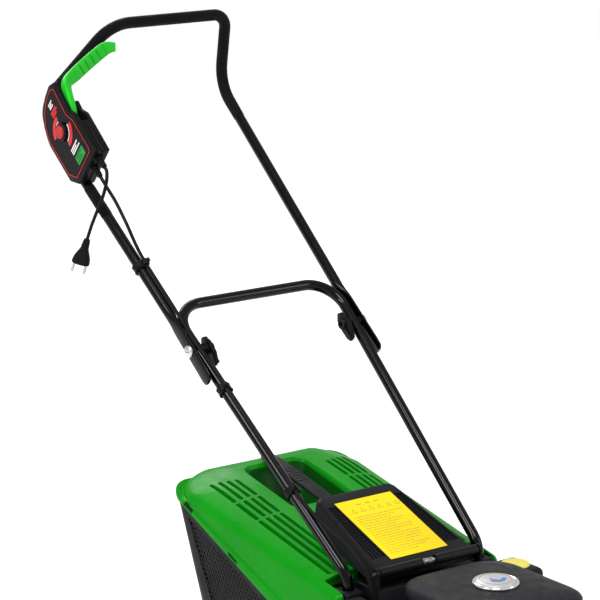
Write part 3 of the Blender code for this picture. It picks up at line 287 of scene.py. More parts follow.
def axes_for(axis):
    w = Vector(axis).normalized()
    helper = Vector((0, 0, 1)) if abs(w.z) < 0.9 else Vector((0, 1, 0))
    u = helper.cross(w).normalized()
    return u, w.cross(u), w


def turned(name, profile, centre, axis, steps=48, ripple=None):
    """A turned solid from (radius, height) points; ripple(angle, index) can change a point's radius."""
    u, v, w = axes_for(axis)
    centre = Vector(centre)
    open_profile = profile[0][0] == 0 and profile[-1][0] == 0
    bm = bmesh.new()
    grid = []
    for i in range(steps):
        a = 2 * pi * i / steps
        column = []
        for k, (r, h) in enumerate(profile):
            r += ripple(i, k) if ripple else 0.0
            column.append(bm.verts.new(centre + (u * cos(a) + v * sin(a)) * r + w * h))
        grid.append(column)
    count = len(profile)
    for i in range(steps):
        j = (i + 1) % steps
        for k in range(count - 1 if open_profile else count):
            m = (k + 1) % count
            bm.faces.new((grid[i][k], grid[j][k], grid[j][m], grid[i][m]))
    return closed_mesh(name, bm)


def rod(name, start, end, radius, steps=32):
    start, end = Vector(start), Vector(end)
    length = (end - start).length
    return turned(name, [(0, 0), (radius, 0), (radius, length), (0, length)], start, end - start, steps)


def rod_through(name, centre, half, radius, steps):
    """A rod that reaches as far as half on both sides of its centre."""
    return rod(name, centre - half, centre + half, radius, steps)


def x_rod(name, x0, x1, y, z, radius, steps=32):
    """A rod along X."""
    return rod(name, (x0, y, z), (x1, y, z), radius, steps)


def x_prism(name, outline, x0, x1):
    """A prism along X with an outline of (y, z) points."""
    return loft(name, [[(x, y, z) for y, z in outline] for x in (x0, x1)])


def y_prism(name, outline, y0, y1):
    """A prism along Y with an outline of (x, z) points."""
    return loft(name, [[(x, y, z) for x, z in outline] for y in (y0, y1)])


def sloped_prism(name, outline, height, low, high):
    """A prism with an outline of (x, y) points, between two distances above the plane height(y)."""
    return loft(name, [[(x, y, height(y) + lift) for x, y in outline] for lift in (low, high)])


def quarter(foot_r, foot_h, reach_r, reach_h, step=10):
    """Profile points along a quarter ellipse, without its two ends."""
    return [(foot_r + reach_r * cos(radians(a)), foot_h + reach_h * sin(radians(a)))
            for a in range(step, 90, step)]


def strip(centre, out, across, r0, r1):
    """The corners of a strip that runs outwards from a centre; across is half its width."""
    return [centre + out * r + across * sign for r, sign in ((r0, -1), (r1, -1), (r1, 1), (r0, 1))]


def signed_power(value, power):
    return abs(value) ** power * (1 if value >= 0 else -1)


def box_mesh(name, low, high):
    xs, ys, zs = zip(low, high)
    ring = [(min(xs), min(ys)), (max(xs), min(ys)), (max(xs), max(ys)), (min(xs), max(ys))]
    return loft(name, [[(x, y, z) for x, y in ring] for z in (min(zs), max(zs))])


def rounded_rect(half_x, low_y, high_y, r_low, r_high, steps=8):
    corners = ((half_x - r_low, low_y + r_low, r_low, -90), (half_x - r_high, high_y - r_high, r_high, 0),
               (-half_x + r_high, high_y - r_high, r_high, 90), (-half_x + r_low, low_y + r_low, r_low, 180))
    points = []
    for cx, cy, r, start in corners:
        for i in range(steps + 1):
            a = radians(start + 90 * i / steps)
            points.append((cx + r * cos(a), cy + r * sin(a)))
    return points


def filleted(corners, radii, step=radians(5)):
    """Points along straight runs joined by arcs; radii belong to the inner corners."""
    corners = [Vector(c) for c in corners]
    points = [corners[0]]
    for before, at, after, radius in zip(corners, corners[1:], corners[2:], radii):
        d_in, d_out = (at - before).normalized(), (after - at).normalized()
        turn = d_in.angle(d_out)
        reach = radius * sin(turn / 2) / cos(turn / 2)
        start = at - d_in * reach
        inward = (d_out - d_in * d_in.dot(d_out)).normalized()
        centre = start + inward * radius
        count = max(2, round(turn / step))
        for i in range(count + 1):
            a = turn * i / count
            points.append(centre - inward * radius * cos(a) + d_in * radius * sin(a))
    points.append(corners[-1])
    return points


def smooth_route(points, spacing):
    """A Catmull-Rom curve through the route's own points, at about the given spacing."""
    points = [Vector(p) for p in points]
    padded = [2 * points[0] - points[1], *points, 2 * points[-1] - points[-2]]
    route = []
    for a, b, c, d in zip(padded, padded[1:], padded[2:], padded[3:]):
        count = max(1, round((c - b).length / spacing))
        for i in range(count):
            t = i / count
            route.append(0.5 * ((2 * b) + (c - a) * t + (2 * a - 5 * b + 4 * c - d) * t * t
                                + (3 * b - a - 3 * c + d) * t ** 3))
    route.append(points[-1])
    return route


def carried_frames(path):
    """(point, side, up) along a path, with side kept near -X and turning as little as it can."""
    frames = []
    side = Vector((-1, 0, 0))
    for i, point in enumerate(path):
        before, after = path[max(i - 1, 0)], path[min(i + 1, len(path) - 1)]
        along = (after - before).normalized()
        side = (side - along * side.dot(along)).normalized()
        frames.append((point, side, along.cross(side)))
    return frames


def tube_stations(path, radius):
    return [(point, side, up, radius, radius) for point, side, up in carried_frames(path)]


def swept(name, stations, steps=28, square=1.0):
    """Skin along stations of (centre, side, up, half width, half height); square below 1 fills the corners."""
    turns = [2 * pi * i / steps for i in range(steps)]
    shape = [(signed_power(cos(a), square), signed_power(sin(a), square)) for a in turns]
    return loft(name, [[centre + side * a * u + up * b * v for u, v in shape]
                       for centre, side, up, a, b in stations])


def boolean(mesh, operation, *others):
    """The mesh after joining or cutting it with others, which are used up."""
    base = bpy.data.objects.new("base", mesh)
    bpy.context.scene.collection.objects.link(base)
    helpers = []
    for other in others:
        helper = bpy.data.objects.new("helper", other)
        bpy.context.scene.collection.objects.link(helper)
        helpers.append(helper)
        modifier = base.modifiers.new("step", "BOOLEAN")
        modifier.operation, modifier.solver, modifier.object = operation, "MANIFOLD", helper
    bpy.context.view_layer.update()
    result = bpy.data.meshes.new_from_object(base.evaluated_get(bpy.context.evaluated_depsgraph_get()))
    result.materials.clear()
    for obj in (base, *helpers):
        bpy.data.objects.remove(obj)
    return result


def cut(mesh, *others):
    return boolean(mesh, "DIFFERENCE", *others)


def joined(mesh, *others):
    return boolean(mesh, "UNION", *others)


def bevelled(mesh, width, segments=3, angle=30.0):
    """The mesh with its edges rounded."""
    obj = bpy.data.objects.new("bevelled", mesh)
    bpy.context.scene.collection.objects.link(obj)
    modifier = obj.modifiers.new("round", "BEVEL")
    modifier.width, modifier.segments = width, segments
    modifier.limit_method, modifier.angle_limit = "ANGLE", radians(angle)
    bpy.context.view_layer.update()
    result = bpy.data.meshes.new_from_object(obj.evaluated_get(bpy.context.evaluated_depsgraph_get()))
    bpy.data.objects.remove(obj)
    return result


def piece(name, mesh, look, body, slot_name, *replaced, sharp=40.0):
    """Places a mesh as a piece that rides on a body, takes the finish named by look and may stand for CAD
    nodes; slot_name is not used.
    """
    mesh.materials.clear()
    mesh.materials.append(materials[look])
    mesh.shade_smooth()
    mesh.set_sharp_from_angle(angle=radians(sharp))
    obj = bpy.data.objects.new(name, mesh)
    bpy.context.scene.collection.objects.link(obj)
    if body:
        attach(obj, body)
    if replaced:
        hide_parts(*replaced)
    return obj


def paint(node, look):
    """Gives a CAD node that is already the right shape its finish."""
    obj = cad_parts[node]
    if not obj.material_slots:
        obj.data.materials.append(materials[look])
    for entry in obj.material_slots:
        entry.material = materials[look]


# ---------------------------------------------------------------- handle geometry

def leg_frame(s, n=0.0):
    """(y, z) of a point s up the legs from the fold axis and n square to them, up and forwards."""
    return (FOLD_Y + s * cos(LEG_ANGLE) - n * sin(LEG_ANGLE),
            FOLD_Z + s * sin(LEG_ANGLE) + n * cos(LEG_ANGLE))


def at_leg(x, s, n):
    return Vector((x, *leg_frame(s, n)))


def side_prism(name, outline, x0, x1):
    """A prism along X with an outline of (s, n) points of the legs."""
    return loft(name, [[at_leg(x, s, n) for s, n in outline] for x in (x0, x1)])


def upper_leg(side, s):
    return Vector((side * (UPPER_X + UPPER_SPLAY * s), *leg_frame(s)))


def lower_leg(side, s):
    return Vector((side * (LOWER_X + LOWER_SPLAY * s), *leg_frame(s)))


def upper_path():
    corners = [upper_leg(-1, 0.08), upper_leg(-1, 0.508), (-0.052, LOOP_Y, LOOP_TOP_Z),
               (0.171, LOOP_Y, LOOP_TOP_Z), upper_leg(1, 0.519), upper_leg(1, 0.08)]
    return filleted(corners, [0.065, 0.085, 0.026, 0.06])


def path_slice(path, start, end):
    """The stretch of a path between two lengths along it."""
    found, run = [], 0.0
    for a, b in zip(path, path[1:]):
        step = (b - a).length
        if run <= start < run + step:
            found.append(a.lerp(b, (start - run) / step))
        if start < run + step < end:
            found.append(b)
        if run < end <= run + step:
            found.append(a.lerp(b, (end - run) / step))
        run += step
    return [p for i, p in enumerate(found) if i == 0 or (p - found[i - 1]).length > 1e-5]


def path_length(path):
    return sum((b - a).length for a, b in zip(path, path[1:]))


def tongue_stations(side):
    along = Vector((0, cos(LEG_ANGLE), sin(LEG_ANGLE)))
    across = Vector((side, 0, 0))
    up = along.cross(across)
    stations = []
    tips = [(UPPER_END_S, 0.55), (UPPER_END_S + 0.0015, 0.72), (UPPER_END_S + 0.004, 0.88),
            (UPPER_END_S + 0.008, 0.97), (UPPER_END_S + 0.013, 1.0)]
    for s, width in tips + [(s / 1000, 1.0) for s in (-30, 0, 30, 40, 46, 50, 54, 58, 62, 66, 70, 74, 78)]:
        f = smoothstep(0.04, 0.08, s)
        x = side * lerp(TONGUE_X, UPPER_X + UPPER_SPLAY * s, f)
        stations.append((Vector((x, *leg_frame(s))), across, up, lerp(TONGUE_T / 2, TUBE_R, f),
                         width * lerp(TONGUE_W, TUBE_R, f)))
    return stations


def bolt_holes():
    return [x_rod("bolt_hole", side * 0.13, side * 0.17, FOLD_Y, FOLD_Z, BOLT_BORE_R, 24) for _, side in SIDES]


def make_handle():
    near, far = tongue_stations(-1), tongue_stations(1)
    far = [(c, a, -u, w, h) for c, a, u, w, h in reversed(far)]
    upper = cut(swept("upper_tube", near + tube_stations(upper_path(), TUBE_R) + far), *bolt_holes())
    piece("upper_tube", upper, "tube", "upper_handle", "tube_black", "upper_handle_tube", sharp=50)

    foot = lower_leg(-1, ELBOW_S)
    half = [(foot.x, foot.y, SOCKET_BOTTOM_Z), foot, lower_leg(-1, CROSSBAR_S)]
    corners = half + [(-p[0], p[1], p[2]) for p in reversed(half)]
    stations = tube_stations(filleted(corners, [0.04, 0.05, 0.05, 0.04]), TUBE_R)
    lower = cut(swept("lower_tube", stations), *bolt_holes())
    piece("lower_tube", lower, "tube", "chassis", "tube_black", "lower_handle_tube", sharp=50)

    path = upper_path()
    total = path_length(path)
    for name, start, end, node in (("leg_sleeve", 0.197, 0.256, "grip_sleeve_leg"),
                                   ("loop_sleeve", 0.452, total - 0.363, "grip_sleeve_loop")):
        frames = carried_frames(path_slice(path, start, end))
        rings = []
        for index, radius in enumerate([SLEEVE_R] * len(frames) + [TUBE_R + 0.0002] * len(frames)):
            k = index if index < len(frames) else 2 * len(frames) - 1 - index
            if index < len(frames) and k in (0, len(frames) - 1):
                radius -= 0.0005
            p, side, up = frames[k]
            rings.append([p + (side * cos(2 * pi * i / 28) + up * sin(2 * pi * i / 28)) * radius
                          for i in range(28)])
        piece(name, loft(name, rings, ring_closed=True), "foam", "upper_handle", "grip_foam", node, sharp=50)


def make_fold_hardware():
    """Cup-head bolts outside, flag-shaped clamping levers inside, saddle spacers between the tubes."""
    for name, side in SIDES:
        out = (side, 0, 0)
        outer = TONGUE_X + TONGUE_T / 2 + 0.0003
        seat = (side * outer, FOLD_Y, FOLD_Z)
        head = [(0, -0.036), (0.0037, -0.036), (0.004, -0.0355), (0.004, 0), (0.0097, 0), (0.0097, 0.0008)]
        head += [*quarter(0, 0.0008, 0.0097, 0.0046), (0, 0.0054)]
        bolt = turned("bolt", head, seat, out, 40)
        slot_box = box_mesh("slot", (side * (outer + 0.0035), FOLD_Y - 0.0075, FOLD_Z - 0.0009),
                            (side * (outer + 0.02), FOLD_Y + 0.0075, FOLD_Z + 0.0009))
        piece(f"cup_bolt_{name}", cut(bolt, slot_box), "zinc", "chassis", "zinc", f"fold_bolt_{name}")
        paint(f"fold_spacer_{name}", "switch")

        inner = LOWER_X - TUBE_R - 0.001
        outline = [(-0.03, -0.0075), (-0.0305, 0.0015), (-0.016, 0.0112), (0.004, 0.0125), (0.0165, 0.0085),
                   (0.0205, 0.001), (0.013, -0.0085), (-0.004, -0.012), (-0.022, -0.0115)]
        plate = side_prism("plate", outline, side * (inner - 0.012), side * (inner - 0.006))
        rib = side_prism("rib", ((-0.0285, -0.002), (-0.0285, 0.001), (-0.009, 0.002), (-0.009, -0.002)),
                         side * (inner - 0.015), side * (inner - 0.007))
        hub = turned("hub", [(0, 0), (0.008, 0), (0.0088, 0.001), (0.0095, 0.004), (0.0095, 0.015),
                             (0.0085, 0.016), (0, 0.016)],
                     (side * (inner - 0.016), FOLD_Y, FOLD_Z), out, 36)
        lever = joined(bevelled(plate, 0.0014, 3), bevelled(rib, 0.0007, 2), hub)
        lever = cut(lever, x_rod("bore", side * 0.1, side * 0.15, FOLD_Y, FOLD_Z, BOLT_BORE_R, 24))
        piece(f"flag_lever_{name}", lever, "switch", f"wing_lever_{name}", "switch_black",
              f"wing_lever_{name}")


def mirrored(half):
    """A whole profile from its upper half, which starts at the top of the bore."""
    return [(r, -h) for r, h in half] + half[::-1]


def make_clips():
    for name, leg, s, cable, body in (
            ("upper", upper_leg, 0.168, (-0.1586, 0.168, 0.0114), "upper_handle"),
            ("middle", lower_leg, -0.08, (-0.1481, -0.08, 0.0119), "chassis"),
            ("lower", lower_leg, -0.276, (-0.1348, -0.276, 0.0122), "chassis")):
        centre = leg(-1, s)
        along = (leg(-1, s + 0.01) - centre).normalized()
        spot = at_leg(*cable)
        half_band = [(TUBE_R + r, h) for r, h in ((0.0003, 0.0062), (0.0028, 0.0062), (0.0033, 0.0052),
                                                  (0.0026, 0.003))]
        band = turned("band", mirrored(half_band), centre, along, 40)
        knuckle = spot + (spot - centre).normalized() * 0.003
        half_loop = [(CABLE_R + r, h) for r, h in ((0.0004, 0.0048), (0.0028, 0.0048), (0.0033, 0.0038))]
        loop = turned("loop", mirrored(half_loop), spot, along, 24)
        tail_up = (knuckle - spot).normalized()
        across = along.cross(tail_up)
        corners = ((-0.0016, -0.0034), (0.0016, -0.0034), (0.0016, 0.0034), (-0.0016, 0.0034))
        tail = loft("tail", [[knuckle + tail_up * d + across * a + along * b for a, b in corners]
                             for d in (0.0016, 0.0065)])
        mesh = joined(band, loop)
        mesh = joined(mesh, bevelled(tail, 0.0006, 2))
        mesh = cut(mesh, rod_through("cable_way", spot, along * 0.02, CABLE_R + 0.0003, 24),
                   rod_through("tube_way", centre, along * 0.02, TUBE_R + 0.0002, 40))
        piece(f"tube_clip_{name}", mesh, "rubber", body, "cable_black", f"cable_clip_{name}")


# ---------------------------------------------------------------- cables, glands and plug

def motor_cable_route():
    """From its gland under the switch box along both legs, through the clips, to the gland on the deck."""
    upper = [(BOX_SPLIT_X, GLAND_S - 0.0003, MOTOR_GLAND_N), (BOX_SPLIT_X, 0.314, MOTOR_GLAND_N),
             (-0.1705, 0.298, 0.039), (-0.1665, 0.274, 0.0345), (-0.164, 0.236, 0.027),
             (-0.1615, 0.206, 0.018), (-0.1595, 0.184, 0.0128), (-0.158, 0.16, 0.0112),
             (-0.1562, 0.11, 0.0112), (-0.155, 0.075, 0.0112), (-0.1545, 0.046, 0.0108),
             (-0.1545, 0.01, 0.0106), (-0.15, -0.028, 0.0112), (-0.1486, -0.048, 0.0114),
             (-0.1481, -0.08, 0.0119), (-0.144, -0.14, 0.012), (-0.139, -0.21, 0.0122),
             (-0.1345, -0.28, 0.0122)]
    lower = [(-0.1285, -0.104, 0.33), (-0.121, -0.142, 0.308), (-0.113, -0.18, 0.288),
             (-0.1085, -0.208, 0.262), (-0.107, -0.224, 0.23), (-0.107, -0.2285, 0.203),
             (-0.107, -0.229, 0.1855)]
    return [at_leg(*p) for p in upper] + [Vector(p) for p in lower]


def supply_route():
    start = at_leg(BOX_SPLIT_X, GLAND_S - 0.0003, SUPPLY_GLAND_N)
    straight = at_leg(BOX_SPLIT_X, GLAND_S - 0.006, SUPPLY_GLAND_N)
    return [start, straight] + [Vector(p) for p in (
        (-0.1755, 0.356, 0.756), (-0.18, 0.3545, 0.739), (-0.1835, 0.3605, 0.719),
        (-0.185, 0.374, 0.697), (-0.185, 0.389, 0.674))] + [PLUG_TOP]


def cable_mesh(name, line):
    return swept(name, tube_stations(line, CABLE_R), 16)


def three_ribs(rib, low, pitch):
    """Three copies of a rib's profile points, one above the other."""
    return [(r, low + pitch * k + h) for k in range(3) for r, h in rib]


def make_cables():
    line = smooth_route(supply_route(), 0.005)
    cord = piece("supply_lead", cable_mesh("supply_lead", line), "rubber", "upper_handle",
                 "cable_black", "supply_cord", sharp=60)
    plug_pieces = make_plug()
    path_length(line)

    line = smooth_route(motor_cable_route(), 0.006)
    cable = piece("motor_lead", cable_mesh("motor_lead", line), "rubber", None, "cable_black",
                  "motor_cable_upper", "motor_cable_lower", sharp=60)
    at_leg(-0.1545, -0.045, 0.0108)
    at_leg(-0.1545, 0.06, 0.0108)
    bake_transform(cable)

    rib = ((0.0046, 0), (0.0046, 0.002), (0.004, 0.0024), (0.004, 0.004))
    ribbed = [(0, 0), (0.0038, 0), (0.0043, 0.0012), *three_ribs(rib, 0.0016, 0.0042), (0.0062, 0.0146),
              (0.0062, 0.0192), (0, 0.0195)]
    for name, n in (("motor", MOTOR_GLAND_N), ("supply", SUPPLY_GLAND_N)):
        start = at_leg(BOX_SPLIT_X, GLAND_S, n)
        piece(f"cable_relief_{name}", turned("relief", ribbed, start, at_leg(0, 1, 0) - at_leg(0, 0, 0), 24),
              "rubber", "upper_handle", "switch_black", f"gland_{name}")
    rib = ((0.005, 0), (0.0049, 0.0018), (0.0043, 0.0021), (0.0043, 0.0034))
    foot = [(0, 0), (0.0072, 0), (0.0075, 0.0006), (0.0075, 0.0056), (0.0068, 0.0064), (0.0052, 0.007),
            *three_ribs(rib, 0.0076, 0.0036), (0.004, 0.019), (0.0034, 0.0195), (0, 0.0195)]
    piece("cable_relief_deck", turned("relief", foot, DECK_GLAND, (0, 0, 1), 28), "rubber",
          "chassis", "cable_black", "gland_deck")


def plug_frame():
    along = Vector((0.0, 0.46, -0.89)).normalized()
    across = Vector((0.785, -0.546, -0.298))
    across = (across - along * across.dot(along)).normalized()
    return along, across, along.cross(across)


def make_plug():
    along, across, through = plug_frame()
    start = PLUG_TOP + along * 0.0003
    stations = [(start, across, through, 0.003, 0.003),
                (start + along * 0.0004, across, through, 0.004, 0.0036)]
    for k in range(4):
        d = 0.0014 + 0.0036 * k
        r = 0.0044 + 0.0004 * k
        for shift, grow in ((0, 0), (0.0002, 0.0008), (0.0018, 0.0008), (0.002, 0)):
            stations.append((start + along * (d + shift), across, through, r + grow, r * 0.92 + grow * 0.8))
    for d, a, b in ((0.017, 0.006, 0.0052), (0.0185, 0.0068, 0.0057), (0.023, 0.0082, 0.006),
                    (0.029, 0.0108, 0.0065), (0.035, 0.0128, 0.007), (0.04, 0.0139, 0.0075),
                    (0.044, 0.0143, 0.0078), (0.0458, 0.0143, 0.0078), (0.0465, 0.0136, 0.0071)):
        stations.append((start + along * d, across, through, a, b))
    body = swept("plug", stations, 40, square=0.75)
    grooves = []
    for k in range(3):
        for sign in (-1, 1):
            spot = start + along * (0.0275 + 0.005 * k) + through * sign * 0.0086
            grooves.append(rod_through("groove", spot, across * 0.006, 0.0019, 12))
    body = cut(body, *grooves)
    moulding = piece("plug_moulding", body, "rubber", "upper_handle", "cable_black", "plug_body")
    pins = []
    face = start + along * 0.0468
    for name, sign in (("left", -1), ("right", 1)):
        profile = [(0, 0), (0.0022, 0), (0.0022, 0.0088), (0.0024, 0.009), (0.0024, 0.0172), (0.002, 0.0184),
                   (0.0012, 0.019), (0, 0.019)]
        pin = turned("prong", profile, face + across * sign * 0.0095, along, 24)
        pins.append(piece(f"plug_prong_{name}", pin, "pin", "upper_handle", "chrome", f"plug_pin_{name}"))
    return [moulding, *pins]


# ---------------------------------------------------------------- switch box

def inset_outline(outline, distance):
    """The outline moved inwards by a distance, corner by corner."""
    found = []
    count = len(outline)
    area = sum(outline[i][0] * outline[(i + 1) % count][1] - outline[(i + 1) % count][0] * outline[i][1]
               for i in range(count))
    sign = 1 if area > 0 else -1
    for i in range(count):
        before, at, after = (Vector(outline[(i + k) % count]) for k in (-1, 0, 1))
        d1, d2 = (at - before).normalized(), (after - at).normalized()
        n1, n2 = Vector((-d1.y, d1.x)) * sign, Vector((-d2.y, d2.x)) * sign
        middle = (n1 + n2).normalized()
        found.append(tuple(at + middle * (distance / max(0.4, middle.dot(n1)))))
    return found


def ring_patch(name, outer, inner, x0, x1):
    """A flat closed frame between two outlines of equal length."""
    rings = [[at_leg(x, s, n) for s, n in line]
             for x, line in ((x0, outer), (x1, outer), (x1, inner), (x0, inner))]
    return loft(name, rings, ring_closed=True)


def arc_outline(centre, r0, r1, a0, a1, steps):
    """A band between two radii, from one angle in degrees to another."""
    points = []
    for radius, span in ((r0, range(steps + 1)), (r1, range(steps, -1, -1))):
        for i in span:
            a = radians(lerp(a0, a1, i / steps))
            points.append((centre[0] + radius * cos(a), centre[1] + radius * sin(a)))
    return points


def button_arc(r0, r1, a0, a1):
    return arc_outline((BUTTON_S, BUTTON_N), r0, r1, a0, a1, 14)


BOX_OUTLINE = [(0.364, -0.0125), (0.342, 0.004), (0.342, 0.079), (0.42, 0.081), (0.436, 0.073),
               (0.492, 0.079), (0.5, 0.062), (0.497, 0.038), (0.488, 0.016), (0.47, -0.001),
               (0.452, -0.009), (0.44, -0.0125)]


def make_switch_box():
    stations = tube_stations(path_slice(upper_path(), 0.2, 0.5), TUBE_R + 0.0002)
    button_at = at_leg(BOX_OUTER_X, BUTTON_S, BUTTON_N)
    for name, x0, x1, node in (("outer", BOX_OUTER_X, BOX_SPLIT_X - 0.0002, "switch_shell_outer"),
                               ("inner", BOX_SPLIT_X + 0.0002, BOX_INNER_X, "switch_shell_inner")):
        shell = bevelled(side_prism("shell", BOX_OUTLINE, x0, x1), 0.0022, 4)
        if name == "outer":
            collar = [(0, -0.002), (0.0154, -0.002), (0.0154, 0.001), (0.015, 0.0042), (0.014, 0.0052),
                      (0.0118, 0.0052), (0, 0.0052)]
            shell = joined(shell, turned("collar", collar, button_at, (-1, 0, 0), 48))
            shell = cut(shell,
                        rod("bore", button_at - Vector((0.02, 0, 0)), button_at + Vector((0.0115, 0, 0)),
                            BUTTON_R + 0.0005, 48))
        slot = side_prism("slot", [(0.409, 0.043), (0.474, 0.047), (0.474, 0.1), (0.405, 0.1)],
                          TRIGGER_X - 0.0068, TRIGGER_X + 0.0068)
        relief = side_prism("relief", [(0.452, 0.06), (0.52, 0.053), (0.52, 0.11), (0.452, 0.11)],
                            TRIGGER_X - 0.0075, BOX_INNER_X + 0.01)
        shell = cut(shell, swept("bore", stations, 28), slot, relief,
                    side_prism("pocket", [(0.372, 0.03), (0.398, 0.03), (0.398, 0.056), (0.372, 0.056)],
                               BOX_SPLIT_X - 0.004, BOX_INNER_X - 0.0022))
        if name == "inner":
            holes = [rod("screw_hole", at_leg(BOX_INNER_X - 0.0022, s, n), at_leg(BOX_INNER_X + 0.01, s, n),
                         0.0032, 20)
                     for s, n in ((0.352, 0.012), (0.352, 0.07), (0.48, 0.052), (0.446, 0.012))]
            shell = cut(shell, *holes)
        piece(f"box_shell_{name}", shell, "switch", "upper_handle", "switch_black", node, sharp=35)
    make_face_plate()
    face = at_leg(BOX_OUTER_X - 0.0085, BUTTON_S, BUTTON_N)
    profile = [(0, 0.001), (0.005, 0.0006), (0.0082, 0.0002), (0.0095, 0.0003), (0.0102, 0.001),
               (BUTTON_R, 0.002), (BUTTON_R, 0.014), (0, 0.014)]
    piece("push_button", turned("push_button", profile, face, (1, 0, 0), 48), "red", "button",
          "button_red", "safety_button")
    paint("micro_switch", "switch")
    paint("trigger_pin", "steel")


def make_face_plate():
    """The printed plate on the outer shell: dark ground, red rim, arcs round the button and plain bars."""
    ground = [(0.353, 0.006), (0.35, 0.0105), (0.35, 0.07), (0.356, 0.073), (0.416, 0.0738),
              (0.435, 0.0665), (0.486, 0.0718), (0.493, 0.06), (0.4905, 0.04), (0.482, 0.02),
              (0.467, 0.004), (0.448, -0.005), (0.438, -0.0068), (0.372, -0.0068)]
    top = BOX_OUTER_X - 0.0006
    plate = side_prism("plate", ground, top, BOX_OUTER_X + 0.0002)
    bore = rod("bore", at_leg(BOX_OUTER_X - 0.01, BUTTON_S, BUTTON_N),
               at_leg(BOX_OUTER_X + 0.01, BUTTON_S, BUTTON_N), 0.0156, 48)
    plate = cut(plate, bore)
    piece("face_plate", plate, "plate", "upper_handle", "switch_black")
    low, high = top - 0.00005, top - 0.00035
    rim = ring_patch("rim", inset_outline(ground, 0.0012), inset_outline(ground, 0.0022), high, low)
    piece("plate_rim", rim, "red_print", "upper_handle", "button_red")

    def patch(name, outline, look, slot_name):
        piece(name, side_prism(name, outline, high, low), look, "upper_handle", slot_name)

    for k, (a0, a1) in enumerate(((100, 186), (286, 372))):
        patch(f"arc_red_{k}", button_arc(0.0215, 0.029, a0, a1), "red_print", "button_red")
        patch(f"arc_white_{k}", button_arc(0.0182, 0.02, a0 - 6, a1 - 4), "white", "button_red")

    def bars(name, s0, n0, pitch, lengths, look, slot_name, thick=0.0022):
        for k, length in enumerate(lengths):
            s = s0 - pitch * k
            outline = [(s, n0), (s, n0 + length), (s - thick, n0 + length), (s - thick, n0)]
            patch(f"{name}_{k}", outline, look, slot_name)

    bars("bar_white_top", 0.48, 0.037, 0.0036, (0.014, 0.0105, 0.0125), "white", "button_red")
    bars("bar_red_top", 0.4665, 0.033, 0.0038, (0.019, 0.021, 0.016), "red_print", "button_red", 0.0027)
    bars("bar_white_low", 0.39, 0.03, 0.004, (0.026, 0.019, 0.028), "white", "button_red")
    patch("block_green", [(0.3745, 0.03), (0.3745, 0.059), (0.359, 0.059), (0.359, 0.03)],
          "green_print", "trigger_green")
    bars("bar_pale_low", 0.3722, 0.0325, 0.0045, (0.023, 0.016, 0.02), "print", "label_yellow", 0.0014)


def make_trigger():
    pivot = at_leg(TRIGGER_X, TRIGGER_S, TRIGGER_N)
    route = [
        (at_leg(TRIGGER_X, 0.4235, 0.0515), 0.0054, 0.006), (at_leg(TRIGGER_X, 0.432, 0.06), 0.0054, 0.0066),
        (Vector((TRIGGER_X, 0.459, 0.8516)), 0.0054, 0.007), (Vector((-0.1725, 0.469, 0.8675)), 0.0056, 0.007),
        (Vector((-0.1683, 0.4815, 0.8794)), 0.0074, 0.0062), (Vector((-0.1586, 0.493, 0.8859)), 0.0098, 0.0046),
        (Vector((-0.1387, 0.501, 0.8952)), 0.0116, 0.0034), (Vector((-0.1199, 0.504, 0.9065)), 0.0116, 0.0032),
        (Vector((-0.101, 0.505, 0.9183)), 0.0116, 0.0032), (Vector((-0.0841, 0.504, 0.9287)), 0.0114, 0.003),
        (Vector((-0.0748, 0.501, 0.9318)), 0.0092, 0.0026), (Vector((-0.0672, 0.4955, 0.9322)), 0.007, 0.002),
    ]
    points = smooth_route([p for p, _, _ in route], 0.004)
    stations = []
    for i, point in enumerate(points):
        near = min(range(len(route) - 1),
                   key=lambda k: (point - route[k][0].lerp(route[k + 1][0], 0.5)).length)
        (p0, w0, d0), (p1, w1, d1) = route[near], route[near + 1]
        t = min(1.0, max(0.0, (point - p0).dot(p1 - p0) / (p1 - p0).length_squared))
        before, after = points[max(i - 1, 0)], points[min(i + 1, len(points) - 1)]
        along = (after - before).normalized()
        side = Vector((0, 1, 0)).cross(along).normalized()
        stations.append((point, side, along.cross(side), lerp(w0, w1, t), lerp(d0, d1, t)))
    lever = swept("trigger", stations, 32, square=0.45)
    ribs = []
    first, last, reach = route[6][0], route[9][0], Vector((-0.0048, 0, 0.0077))
    for k in range(6):
        spot = first.lerp(last, k / 5) + Vector((0, -0.0028, 0))
        ribs.append(rod_through("rib", spot, reach, 0.0008, 10))
    lever = joined(lever, *ribs)
    lever = cut(lever, rod_through("bore", pivot, Vector((0.02, 0, 0)), 0.0023, 24))
    piece("dead_man_lever", lever, "lever_green", "trigger", "trigger_green", "trigger_lever", sharp=45)


# ---------------------------------------------------------------- chassis

def cover_ring(half_x, half_y, radius, z):
    return [(x, y, z) for x, y in rounded_rect(half_x, MOTOR_Y - half_y, MOTOR_Y + half_y, radius, radius, 10)]


def cover_shell(name, outer, inner):
    """A shell between two stacks of (half width, half length, corner radius, height)."""
    outside, inside = ([cover_ring(*level) for level in levels] for levels in (outer, inner))
    return cut(loft(name, outside), loft("inside", inside))


